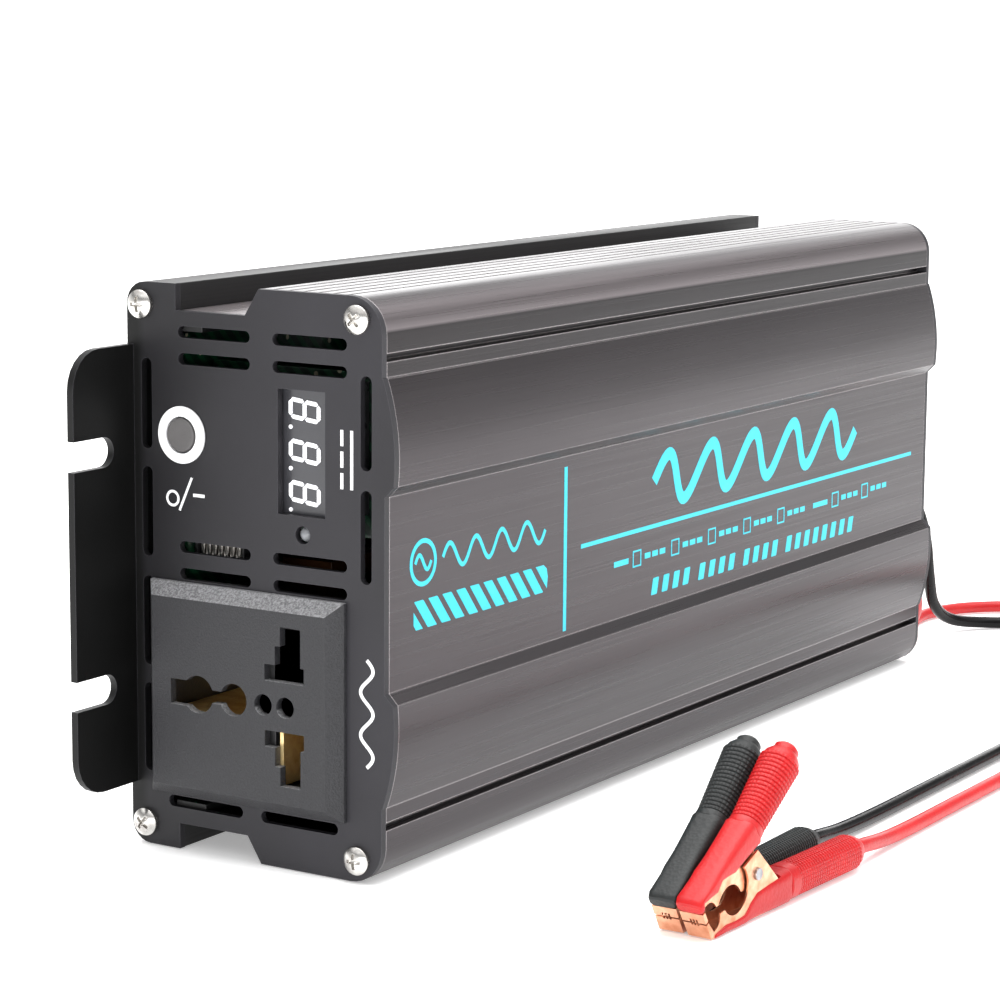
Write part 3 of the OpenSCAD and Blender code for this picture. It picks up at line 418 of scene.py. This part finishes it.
def smooth_group(name, degrees):
    """A node group that shades faces smooth and keeps edges sharper than its angle."""
    group = bpy.data.node_groups.new(name, "GeometryNodeTree")
    group.interface.new_socket("Geometry", in_out="INPUT", socket_type="NodeSocketGeometry")
    group.interface.new_socket("Geometry", in_out="OUTPUT", socket_type="NodeSocketGeometry")
    source = group.nodes.new("NodeGroupInput")
    result = group.nodes.new("NodeGroupOutput")
    angle = group.nodes.new("GeometryNodeInputMeshEdgeAngle")
    sharp = group.nodes.new("FunctionNodeCompare")
    sharp.data_type = "FLOAT"
    sharp.operation = "GREATER_THAN"
    sharp.inputs[1].default_value = math.radians(degrees)
    faces = group.nodes.new("GeometryNodeSetShadeSmooth")
    edges = group.nodes.new("GeometryNodeSetShadeSmooth")
    edges.domain = "EDGE"
    edges.inputs["Shade Smooth"].default_value = False
    links = group.links
    links.new(source.outputs[0], faces.inputs["Geometry"])
    links.new(angle.outputs["Unsigned Angle"], sharp.inputs[0])
    links.new(faces.outputs[0], edges.inputs["Geometry"])
    links.new(sharp.outputs[0], edges.inputs["Selection"])
    links.new(edges.outputs[0], result.inputs[0])
    return group


SMOOTH = smooth_group("smooth_by_angle", 28)
CRISP = smooth_group("crisp_by_angle", 15)
WELD_M = 0.000002       # how close loose corners are joined
FLAT_ANGLE = 0.5        # degrees under which neighbouring faces are one
BEVEL_ANGLE = 35        # degrees over which an edge is rounded


def smoothed(piece, group=SMOOTH):
    piece.modifiers.new("smooth", "NODES").node_group = group
    weighted = piece.modifiers.new("flat_faces_first", "WEIGHTED_NORMAL")
    weighted.keep_sharp = True


def eased(piece, width, group):
    """Joins a CAD mesh's loose corners, rounds its edges and shades it by angle, all with modifiers."""
    for name in ("custom_normal", "sharp_edge", "sharp_face"):
        if name in piece.data.attributes:
            piece.data.attributes.remove(piece.data.attributes[name])
    weld = piece.modifiers.new("weld", "WELD")
    weld.merge_threshold = WELD_M
    flat = piece.modifiers.new("flat_faces", "DECIMATE")
    flat.decimate_type = "DISSOLVE"
    flat.angle_limit = math.radians(FLAT_ANGLE)
    if width:
        bevel = piece.modifiers.new("eased_edges", "BEVEL")
        bevel.width = width * MM
        bevel.segments = 2
        bevel.limit_method = "ANGLE"
        bevel.angle_limit = math.radians(BEVEL_ANGLE)
        bevel.use_clamp_overlap = True
        bevel.miter_outer = "MITER_ARC"
    smoothed(piece, group)


def as_object(bm, name):
    """Puts a bmesh into the scene and frees it."""
    mesh = bpy.data.meshes.new(name)
    bm.to_mesh(mesh)
    bm.free()
    piece = bpy.data.objects.new(name, mesh)
    scene.collection.objects.link(piece)
    return piece


def new_piece(name, bm, finish, body, replaces=()):
    """Makes an object of a bmesh in millimetres and ties it to its body."""
    bmesh.ops.scale(bm, vec=(MM, MM, MM), verts=bm.verts)
    bmesh.ops.recalc_face_normals(bm, faces=bm.faces)
    piece = as_object(bm, name)
    dress(piece, finish)
    smoothed(piece)
    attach(piece, body)
    if replaces:
        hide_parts(*replaces)
    return piece


def skin(bm, rings, closed_ends=True):
    """Joins equal rings of points into a tube."""
    verts = [[bm.verts.new(point) for point in ring] for ring in rings]
    count = len(rings[0])
    for near, far in zip(verts, verts[1:]):
        for k in range(count):
            bm.faces.new((near[k], near[(k + 1) % count], far[(k + 1) % count], far[k]))
    if closed_ends:
        bm.faces.new(verts[0])
        bm.faces.new(verts[-1])


def arc_points(centre, radius, start, end, steps):
    """Points along an arc, angles in degrees."""
    return [(centre[0] + radius * math.cos(math.radians(start + (end - start) * i / steps)),
             centre[1] + radius * math.sin(math.radians(start + (end - start) * i / steps)))
            for i in range(steps + 1)]


# ---- battery leads ----

LEAD_D = 3
LEAD_STEPS = 8      # points of the cord between two points of its route
GRIP_AXIS = 3.5     # height of the fixed grip's axis
BOOT_END = 58       # distances from a clamp's tip: the end of the cable boot
LEAD_END = 50       # and the end of the lead inside it
CLAMPS = {
    "red": {"tip": Vector((92.6, -114, 0)), "heading": math.radians(3),
            "finish": "red_pvc", "slot": "red_grip"},
    "black": {"tip": Vector((86.6, -113.5, 0)), "heading": math.radians(-1),
              "finish": "black_rubber", "slot": "black_grip"},
}
ROUTES = {
    "red": [
        (13, 127.6, 22), (18, 127.8, 21.5), (21, 131, 17.5), (19, 138, 10), (14, 147, 4.5), (9, 158, 1.6),
        (8, 170, 1.6), (13, 183, 1.6), (24, 193, 1.6), (39, 198, 1.6), (56, 198, 1.6), (72, 192, 1.6),
        (84, 181, 1.6), (92, 166, 1.6), (95, 149, 1.6), (95, 110, 1.6), (95, 70, 1.6), (95, 30, 1.6),
        (95, -10, 1.6), (95, -30, 1.6), (95.3, -44, 2.2),
    ],
    "black": [
        (13, 127.6, 42), (18, 127.8, 41.5), (21.5, 131, 37), (22, 136, 28), (20.5, 142, 18), (19, 149, 9),
        (20, 158, 3.5), (26, 168, 1.6), (37, 175, 1.6), (50, 177, 1.6), (63, 173, 1.6), (74, 165, 1.6),
        (82, 153, 1.6), (85, 139, 1.6), (85, 105, 1.6), (85, 70, 1.6), (85, 35, 1.6), (85, 0, 1.6),
        (85, -25, 1.6), (85.2, -43, 2.2),
    ],
}


def clamp_matrix(colour):
    """Takes a clamp's own axes (across, along, up) to their place, in millimetres."""
    clamp = CLAMPS[colour]
    return Matrix.Translation(clamp["tip"]) @ Matrix.Rotation(-clamp["heading"], 4, "Z")


def smooth_route(points, steps):
    """Catmull-Rom curve through a route's points."""
    points = [Vector(point) for point in points]
    last = len(points) - 1
    line = []
    for i in range(last):
        a, b, c, d = points[max(i - 1, 0)], points[i], points[i + 1], points[min(i + 2, last)]
        for step in range(steps):
            t = step / steps
            line.append(0.5 * (2 * b + (c - a) * t + (2 * a - 5 * b + 4 * c - d) * t ** 2
                               + (3 * b - a - 3 * c + d) * t ** 3))
    return line + [points[-1]]


def make_lead(colour):
    """The cord from its stud to the inside of its clamp's boot, and its length in metres."""
    boot, inside = (clamp_matrix(colour) @ Vector((0, along, GRIP_AXIS)) for along in (BOOT_END, LEAD_END))
    line = smooth_route(ROUTES[colour] + [boot, inside], LEAD_STEPS)
    curve = bpy.data.curves.new(f"{colour}_battery_lead", "CURVE")
    curve.dimensions = "3D"
    curve.bevel_depth = LEAD_D / 2 * MM
    curve.bevel_resolution = 5
    curve.use_fill_caps = True
    spline = curve.splines.new("POLY")
    spline.points.add(len(line) - 1)
    for point, place in zip(spline.points, line):
        point.co = (*(place * MM), 1)
    spline.use_smooth = True
    lead = bpy.data.objects.new(f"{colour}_battery_lead", curve)
    scene.collection.objects.link(lead)
    curve.materials.append(FINISHES[f"{colour}_pvc"])
    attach(lead, "case")
    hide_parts(f"{colour}_lead")
    length = sum((b - a).length for a, b in zip(line, line[1:]))
    print(f"{colour} lead: {length:.1f} mm")
    return lead, length * MM


# ---- clamp grips ----

GRIP_START = 27                     # the ribbed part of the fixed grip, from the clamp's tip
GRIP_END = 53.5
GRIP_R = (3.4, 3.4)                 # radius at its front and at its back
GRIP_COLLAR = 3.2                   # smooth stretch before the ribs
BOOT_GAP = 2.6                      # from the last rib to the boot
BOOT_R = 1.95
HANDLE_ANGLE = math.radians(38.7)
HANDLE_START = (14.2, 16.1)         # along and up
HANDLE_LENGTH = 18
HANDLE_R = (3.2, 3.8)
HANDLE_COLLAR = 1.6
NUB_GAP = 1.8                       # from the last rib to the end nub
NUB_LENGTH = 1.8
NUB_R = 2.4
PLATES_HALF = 2.47                  # half the width left for the fixed jaw's two plates
INNER_HALF = 1.72                   # and for the moving jaw between them
SLEEVE_POWER = 3.6                  # squareness of a section: 2 is round
GRIP_POWER = 2.2
RIB_PITCH = 0.85
RIB_DEPTH = 0.26
LINE_DEPTH = 0.1
PAD_POINTS = 4                      # points of a section between two lengthwise lines
SECTION_POINTS = 26 * PAD_POINTS


def grip_section(power):
    """A round-cornered square section that reaches 1 to each side."""
    section = []
    for k in range(SECTION_POINTS):
        angle = 2 * math.pi * k / SECTION_POINTS
        c, s = math.cos(angle), math.sin(angle)
        reach = 1 / (abs(c) ** power + abs(s) ** power) ** (1 / power)
        section.append((reach * c, reach * s))
    return section


def grip_profile(stretch, radii):
    """Rows of (distance, radius, ribbed) along a grip: its smooth collar, its ribs and its thinner end."""
    smooth_end, rib_end, nub_start, nub_end, tip_r = stretch
    first, last = radii
    rows = [(0, first - 0.6, 0), (0.02, first - 0.1, 0), (0.3, first + 0.08, 0),
            (smooth_end - 0.2, first + 0.08, 0), (smooth_end, first, 0)]
    count = int((rib_end - smooth_end) / RIB_PITCH)
    pitch = (rib_end - smooth_end) / count
    for i in range(count):
        start = smooth_end + i * pitch
        radius = first + (last - first) * i / (count - 1)
        rows += [(start + 0.12 * pitch, radius - RIB_DEPTH, 0), (start + 0.3 * pitch, radius, 1),
                 (start + 0.55 * pitch, radius + 0.03, 1), (start + 0.8 * pitch, radius, 1)]
    rows += [(rib_end + 0.1, last - RIB_DEPTH, 0), (rib_end + 0.5 * (nub_start - rib_end), last - 0.45, 0),
             (nub_start, tip_r + 0.35, 0), (nub_start + 0.3, tip_r, 0),
             (nub_end - 0.5, tip_r - 0.1, 0), (nub_end, tip_r - 0.6, 0)]
    return rows


def add_grip(bm, origin, along, up, stretch, radii):
    """A ribbed round grip: rings of small pads, separated by grooves round it and along it."""
    across = Vector((1, 0, 0))
    rings = []
    for distance, radius, ribbed in grip_profile(stretch, radii):
        ring = []
        for k, (x, y) in enumerate(grip_section(GRIP_POWER)):
            reach = radius - (LINE_DEPTH if ribbed and k % PAD_POINTS == 0 else 0)
            ring.append(origin + along * distance + across * (x * reach) + up * (y * reach))
        rings.append(ring)
    skin(bm, rings)


def sleeve_mesh(origin, along, up, stations):
    """A soft sleeve: round-cornered sections at (distance, low side, high side, half width) stations."""
    across = Vector((1, 0, 0))
    bm = bmesh.new()
    rings = []
    for distance, low, high, half in stations:
        middle, rise = (low + high) / 2, (high - low) / 2
        rings.append([origin + along * distance + across * (half * x) + up * (middle + rise * y)
                      for x, y in grip_section(SLEEVE_POWER)])
    skin(bm, rings)
    bmesh.ops.recalc_face_normals(bm, faces=bm.faces)
    return bm


def prism_mesh(outline, half):
    """A prism across the clamp from an (along, up) outline."""
    bm = bmesh.new()
    sides = [[bm.verts.new((x, a, b)) for a, b in outline] for x in (-half, half)]
    count = len(outline)
    bm.faces.new(sides[0])
    bm.faces.new(sides[1])
    for k in range(count):
        bm.faces.new((sides[0][k], sides[0][(k + 1) % count], sides[1][(k + 1) % count], sides[1][k]))
    bmesh.ops.recalc_face_normals(bm, faces=bm.faces)
    return bm


def hollowed(outer, inner):
    """The outer bmesh minus the inner one, as a new bmesh."""
    body, tool = as_object(outer, "outer"), as_object(inner, "inner")
    cut = body.modifiers.new("cut", "BOOLEAN")
    cut.operation = "DIFFERENCE"
    cut.solver = "EXACT"
    cut.object = tool
    bpy.context.view_layer.update()
    result = bmesh.new()
    result.from_object(body, bpy.context.evaluated_depsgraph_get())
    for piece in (body, tool):
        mesh = piece.data
        bpy.data.objects.remove(piece)
        bpy.data.meshes.remove(mesh)
    return result


def fixed_grip_mesh():
    """The lower sleeve around the fixed jaw, and the ribbed grip and boot behind it."""
    along, up = Vector((0, 1, 0)), Vector((0, 0, 1))
    stations = [(1.1, 0, 0.7, 2.6), (1.4, 0, 0.9, 2.75), (4.9, 0, 1.9, 2.8), (8, 0, 1.75, 2.8),
                (11.3, 0, 2.1, 2.8), (12.4, 0, 3.1, 2.8), (13.4, 0, 4.2, 2.8), (15.6, 0, 5.6, 2.85),
                (20, 0, 6.1, 2.95), (24.6, 0.05, 6.5, 3.1), (26.8, 0.1, 6.8, 3.25), (27.4, 0.3, 6.6, 3.1)]
    bm = hollowed(sleeve_mesh(Vector(), along, up, stations),
                  prism_mesh([(0, 0.5), (24, 0.5), (24, 9), (0, 9)], PLATES_HALF))
    ribs_end = GRIP_END - GRIP_START
    stretch = (GRIP_COLLAR, ribs_end, ribs_end + BOOT_GAP, BOOT_END - GRIP_START, BOOT_R)
    add_grip(bm, Vector((0, GRIP_START, GRIP_AXIS)), along, up, stretch, GRIP_R)
    return bm


def moving_grip_mesh():
    """The upper sleeve over the moving jaw, and the ribbed handle with its small end nub."""
    along = Vector((0, math.cos(HANDLE_ANGLE), math.sin(HANDLE_ANGLE)))
    up = Vector((0, -math.sin(HANDLE_ANGLE), math.cos(HANDLE_ANGLE)))
    start = Vector((0, *HANDLE_START))
    stations = [(0.9, 6.1, 7.9, 2.5), (1.15, 6.05, 8.35, 2.7), (1.6, 6.02, 8.57, 2.8), (2.25, 7.4, 8.6, 2.8),
                (4.4, 6.2, 8.43, 2.8), (6.5, 4.95, 8.24, 2.8), (8.84, 5.5, 8.03, 2.8), (10.8, 4.2, 7.85, 2.8),
                (12.67, 2.86, 7.68, 2.85), (16.4, 1.9, 7.34, 2.95), (20.2, 0.85, 7.0, 3.1),
                (21.2, 0.5, 6.95, 3.2), (21.6, 0.7, 6.8, 3.05)]
    channel = [(-3.1, 6), (-3.1, 7.1), (2.6, 9.8), (9, 13.6), (12.1, 15.2), (15.4, 13.1), (16, 6)]
    bm = hollowed(sleeve_mesh(Vector(), along, up, stations), prism_mesh(channel, INNER_HALF))
    ribs_end = HANDLE_LENGTH - HANDLE_COLLAR
    nub_start = ribs_end + NUB_GAP
    stretch = (HANDLE_COLLAR, ribs_end, nub_start, nub_start + NUB_LENGTH, NUB_R)
    add_grip(bm, start, along, up, stretch, HANDLE_R)
    return bm


def make_grips(colour):
    clamp = CLAMPS[colour]
    place = clamp_matrix(colour)
    pieces = []
    for part, shape, body in (("fixed_grip", fixed_grip_mesh, "case"),
                              ("moving_grip", moving_grip_mesh, f"{colour}_clamp_arm")):
        bm = shape()
        bmesh.ops.transform(bm, matrix=place, verts=bm.verts)
        pieces.append(new_piece(f"{colour}_ribbed_{part}", bm, clamp["finish"], body,
                                (f"{colour}_{part}",)))
    return pieces


TERMINAL_SLEEVE_SIDES = 32


def make_terminal_sleeve(colour):
    """Heat-shrink sleeve from the ring terminal's barrel onto the lead, as (distance, radius) rows."""
    start = Vector(ROUTES[colour][0])
    turns = [2 * math.pi * k / TERMINAL_SLEEVE_SIDES for k in range(TERMINAL_SLEEVE_SIDES)]
    rows = [(-6.2, 2.32), (-6.2, 2.72), (-5.9, 2.8), (-1, 2.75), (0.4, 2.3), (1.6, 1.85), (3.6, 1.78),
            (3.8, 1.66), (3.8, 1.52), (0.1, 1.52), (0.1, 2.32)]
    bm = bmesh.new()
    rings = [[start + Vector((x, radius * math.cos(turn), radius * math.sin(turn))) for turn in turns]
             for x, radius in rows]
    skin(bm, rings + rings[:1], closed_ends=False)
    bmesh.ops.remove_doubles(bm, verts=bm.verts, dist=0.0001)
    return new_piece(f"{colour}_terminal_sleeve", bm, f"{colour}_pvc", "case")


for colour in CLAMPS:
    lead, length = make_lead(colour)
    grips = make_grips(colour)
    sleeve = make_terminal_sleeve(colour)


# ---- printed marks ----

PANEL_THICKNESS = 1.5
PANEL_FACE_Y = node_box("cover_shell")[0].y - PANEL_THICKNESS
RECESS_DEPTH = 2.2
DASH_ROW = (47.6, 48.8)     # bottom and top of the row of dashes on the cover


class Print:
    """Flat marks on one face, gathered into a single thin mesh that stands a little proud of it."""
    SUNK = 0.02
    PROUD = 0.04

    def __init__(self, origin, across, up):
        self.origin, self.across, self.up = Vector(origin), Vector(across), Vector(up)
        self.out = self.across.cross(self.up)
        self.bm = bmesh.new()

    def at(self, u, v, height):
        return self.origin + self.across * u + self.up * v + self.out * height

    def shape(self, points):
        """A solid mark from a convex outline."""
        low = [self.bm.verts.new(self.at(u, v, -self.SUNK)) for u, v in points]
        high = [self.bm.verts.new(self.at(u, v, self.PROUD)) for u, v in points]
        self.bm.faces.new(high)
        self.bm.faces.new(low[::-1])
        for k in range(len(points)):
            after = (k + 1) % len(points)
            self.bm.faces.new((low[k], low[after], high[after], high[k]))

    def bar(self, u0, u1, v0, v1, lean=0.0, radius=0.0):
        """A bar whose top leans towards +u by lean times its height, with round corners."""
        if radius:
            corners = ((u1 - radius, v0 + radius, -90), (u1 - radius, v1 - radius, 0),
                       (u0 + radius, v1 - radius, 90), (u0 + radius, v0 + radius, 180))
            points = [p for u, v, a in corners for p in arc_points((u, v), radius, a, a + 90, 5)]
        else:
            points = [(u0, v0), (u1, v0), (u1, v1), (u0, v1)]
        self.shape([(u + lean * (v - v0), v) for u, v in points])

    def line(self, points, width, closed=False):
        """A band of even width along a path, with mitred corners."""
        count = len(points)
        path = [Vector(p) for p in points]
        sides = []
        for i, point in enumerate(path):
            before = path[i - 1] if i or closed else None
            after = path[(i + 1) % count] if i < count - 1 or closed else None
            into = (point - before).normalized() if before is not None else (after - point).normalized()
            onward = (after - point).normalized() if after is not None else into
            middle = (into + onward).normalized()
            normal = Vector((-middle.y, middle.x))
            reach = width / 2 / max(0.5, middle.dot(into))
            sides.append((point + normal * reach, point - normal * reach))
        last = count if closed else count - 1
        rows = [[self.bm.verts.new(self.at(side.x, side.y, height)) for height in (self.PROUD, -self.SUNK)
                 for side in pair] for pair in sides]
        for i in range(last):
            a, b = rows[i], rows[(i + 1) % count]
            for j, k in ((0, 1), (1, 3), (3, 2), (2, 0)):
                self.bm.faces.new((a[j], a[k], b[k], b[j]))
        if not closed:
            for row in (rows[0], rows[-1]):
                self.bm.faces.new((row[0], row[1], row[3], row[2]))

    def ring(self, u, v, radius, width):
        self.line(arc_points((u, v), radius, 0, 360, 36)[:-1], width, closed=True)

    def done(self, name, finish):
        return new_piece(name, self.bm, finish, "case")


def sine(u0, u1, v, height, periods, steps_per_period=24, lean=0.0):
    """Points of a sine wave from u0 to u1 about v."""
    steps = int(periods * steps_per_period)
    points = []
    for i in range(steps + 1):
        rise = height * math.sin(2 * math.pi * periods * i / steps)
        points.append((u0 + (u1 - u0) * i / steps + lean * rise, v + rise))
    return points


def option_box(art, left):
    """A small square with three dashes after it."""
    right = left + 3.2
    art.line([(left, 46.6), (right, 46.6), (right, 49.8), (left, 49.8)], 0.35, closed=True)
    for dash in range(3):
        start = left + 4.9 + dash * 3.2
        art.bar(start, start + 2.4, *DASH_ROW)


def make_cover_print():
    """Cyan artwork on the recess of the cover: u runs back from the panel's face, v up from the floor."""
    recess_x = node_box("cover_shell")[1].x - RECESS_DEPTH
    art = Print((recess_x, PANEL_FACE_Y, 0), (0, 1, 0), (0, 0, 1))
    # Round mark with one wave in it, and a longer wave beside it
    art.ring(12.8, 59.6, 4.1, 0.9)
    art.line(sine(10.1, 15.5, 59.6, 1.5, 1), 0.8)
    art.line(sine(19.5, 56.5, 59.6, 2.4, 4), 0.9)
    # Striped bar, its two end stripes cut short
    for i in range(9):
        art.bar(14.4 + i * 4.8, 17.5 + i * 4.8, 47, 52.5, lean=-0.85, radius=0.2)
    art.shape([(10.4, 47), (12.7, 47), (9.6, 50.5), (9.6, 48)])
    art.shape([(53, 52.5), (57.3, 47.6), (57.6, 50), (57.2, 51.6), (56, 52.5)])
    # Upright divider and long rule
    art.bar(63.7, 64.9, 37.7, 71.2)
    art.bar(70.5, 229.6, 53.65, 54.55)
    # Bold leaning wave
    art.line(sine(100.5, 197.5, 63.6, 5.2, 5, 32, lean=0.3), 2.7)
    # Row of option boxes with dashes between them
    for i in range(5):
        option_box(art, 92 + i * 16.5)
    art.bar(84, 90, *DASH_ROW)
    for i in range(2):
        option_box(art, 186 + i * 16)
    art.bar(176, 183.5, *DASH_ROW)
    # Row of leaning ticks in four groups
    tick_pitch = 4.6
    place = 99.8
    for group in (4, 4, 4, 8):
        for _ in range(group):
            art.bar(place, place + 2.5, 39.3, 42.9, lean=0.25, radius=0.3)
            place += tick_pitch
        place += 2.4
    return art.done("cover_print", "cyan_ink")


def make_panel_print():
    """White symbols on the front panel: u is X, v is Z."""
    art = Print((0, PANEL_FACE_Y, 0), (1, 0, 0), (0, 0, 1))
    # Off and on, with a stroke between them
    art.ring(-20.2, 68.9, 1.35, 0.5)
    art.line([(-18.6, 66.7), (-15.6, 73.2)], 0.5)
    art.line([(-15.3, 69.9), (-12.6, 69.9)], 0.6)
    # Direct current: a full line beside a broken one
    art.line([(21.4, 74.2), (21.4, 85.2)], 0.65)
    for i in range(3):
        art.line([(19.2, 74.2 + i * 4), (19.2, 77.2 + i * 4)], 0.65)
    # Alternating current: a wave running down the edge
    art.line([(across, along) for along, across in sine(22.3, 42.7, 24.8, 1.4, 2.5)], 0.7)
    return art.done("panel_print", "white_ink")


make_cover_print()
make_panel_print()


# ---- CAD pieces: finish and rounding of the edges ----

def finish_nodes(names, finish, ease, group=SMOOTH):
    for name in names:
        dress(nodes[name], finish)
        eased(nodes[name], ease, group)


finish_nodes(["cover_shell"], "cover", 0.1, CRISP)
finish_nodes(["base_shell"], "base", 0.3)
finish_nodes(["front_panel", "rear_panel"], "panel", 0.22)
finish_nodes(["front_panel_screws", "rear_panel_screws", "fan_screws", "board_screws"], "steel", 0.08)
finish_nodes(["button_ring"], "white_plastic", 0.25)
finish_nodes(["power_button"], "button", 0.5)
finish_nodes(["switch_body", "socket_body", "terminal_block"], "black_plastic", 0.2)
finish_nodes(["display_module"], "display_face", 0.1)
finish_nodes(["display_digits"], "digits", 0)
finish_nodes(["status_led"], "led", 0)
finish_nodes(["control_board", "main_board"], "board", 0.1)
finish_nodes(["socket_faceplate"], "faceplate", 0.15)
finish_nodes(["board_standoffs"], "brass", 0.15)
for name in ("live_contact", "neutral_contact", "earth_contact"):
    dress(nodes[name], "brass")
finish_nodes(["output_wires"], "red_pvc", 0)
finish_nodes(["transformer_cores", "choke_core"], "ferrite", 0.3)
finish_nodes(["transformer_windings"], "tape", 0.6)
finish_nodes(["choke_winding"], "windings", 0)
finish_nodes(["bus_capacitors", "input_capacitors"], "film", 0.4)
finish_nodes(["power_transistors"], "black_plastic", 0.15)
finish_nodes(["heat_sinks"], "aluminium", 0.2)
finish_nodes(["blade_fuses"], "fuse", 0.2)
finish_nodes(["fan_frame", "fan_rotor"], "fan_plastic", 0.2)
finish_nodes(["positive_stud", "negative_stud"], "brass", 0.3)
finish_nodes(["terminal_nuts"], "zinc", 0.25)
finish_nodes(["dc_bus_bars"], "copper", 0.2)
finish_nodes(["red_ring_terminal", "black_ring_terminal"], "zinc", 0.15)
for colour in CLAMPS:
    finish_nodes([f"{colour}_fixed_jaw", f"{colour}_moving_jaw"], "copper", 0.1)
    finish_nodes([f"{colour}_pivot_pin", f"{colour}_spring"], "zinc", 0.1)
    dress(nodes[f"{colour}_lead"], f"{colour}_pvc")
    for part in ("fixed_grip", "moving_grip"):
        dress(nodes[f"{colour}_{part}"], CLAMPS[colour]["finish"])


# ---- stage and lights ----

FLOOR_HALF = 60
FLOOR_DROP = 0.0002
SKY = [(0.03, 1), (0.12, 0.1), (0.4, 0.14), (0.6, 1)]       # (height, brightness), from the horizon up
SKY_STRENGTH = 1.25


def make_floor():
    """A pale, slightly lit floor that runs to the horizon."""
    finish = Finish("pale_floor", Emission_Color=(1, 1, 1, 1), Emission_Strength=0.3)
    cloud = finish.noise(4, 2)
    finish.colour(finish.blend(cloud, (0.91, 0.91, 0.91, 1), (0.93, 0.93, 0.93, 1)))
    finish.roughness(cloud, 0.3, 0.7, 0.8, 0.9)
    bm = bmesh.new()
    bmesh.ops.create_grid(bm, x_segments=8, y_segments=8, size=FLOOR_HALF)
    floor = as_object(bm, "floor")
    floor.location.z = -FLOOR_DROP
    floor.data.materials.append(finish.material)


def make_light(name, place, target, width, height, power):
    light = bpy.data.lights.new(name, "AREA")
    light.shape = "RECTANGLE"
    light.size = width
    light.size_y = height
    light.energy = power
    lamp = bpy.data.objects.new(name, light)
    lamp.location = place
    lamp.rotation_euler = (Vector(target) - Vector(place)).to_track_quat("-Z", "Y").to_euler()
    scene.collection.objects.link(lamp)


def make_world():
    """White at the horizon and overhead, darker between them, so that metal shows its shape."""
    world = bpy.data.worlds.new("studio")
    world.use_nodes = True
    tree = world.node_tree
    axes = tree.nodes.new("ShaderNodeSeparateXYZ")
    strength = tree.nodes.new("ShaderNodeValToRGB")
    tree.links.new(tree.nodes.new("ShaderNodeTexCoord").outputs["Generated"], axes.inputs["Vector"])
    tree.links.new(axes.outputs["Z"], strength.inputs["Fac"])
    stops = strength.color_ramp.elements
    for stop, (height, level) in zip([stops[0], stops[1], stops.new(0.5), stops.new(0.7)], SKY):
        stop.position = height
        stop.color = (level, level, level, 1)
    tree.links.new(strength.outputs["Color"], tree.nodes["Background"].inputs["Color"])
    tree.nodes["Background"].inputs["Strength"].default_value = SKY_STRENGTH
    scene.world = world


make_floor()
make_light("top_softbox", (0.0, 0.1, 1.3), (0, 0, 0.1), 1.4, 1.4, 26)
make_light("side_softbox", (1.3, 0.3, 0.9), (0, 0, 0.06), 1.0, 1.2, 4)
make_light("back_softbox", (-0.9, 1.7, 0.65), (0, 0, 0.1), 1.8, 0.7, 11)
make_light("front_fill", (0.5, -1.4, 0.1), (0, -0.1, 0.05), 1.0, 0.16, 8)
make_world()
scene.view_settings.view_transform = "Standard"
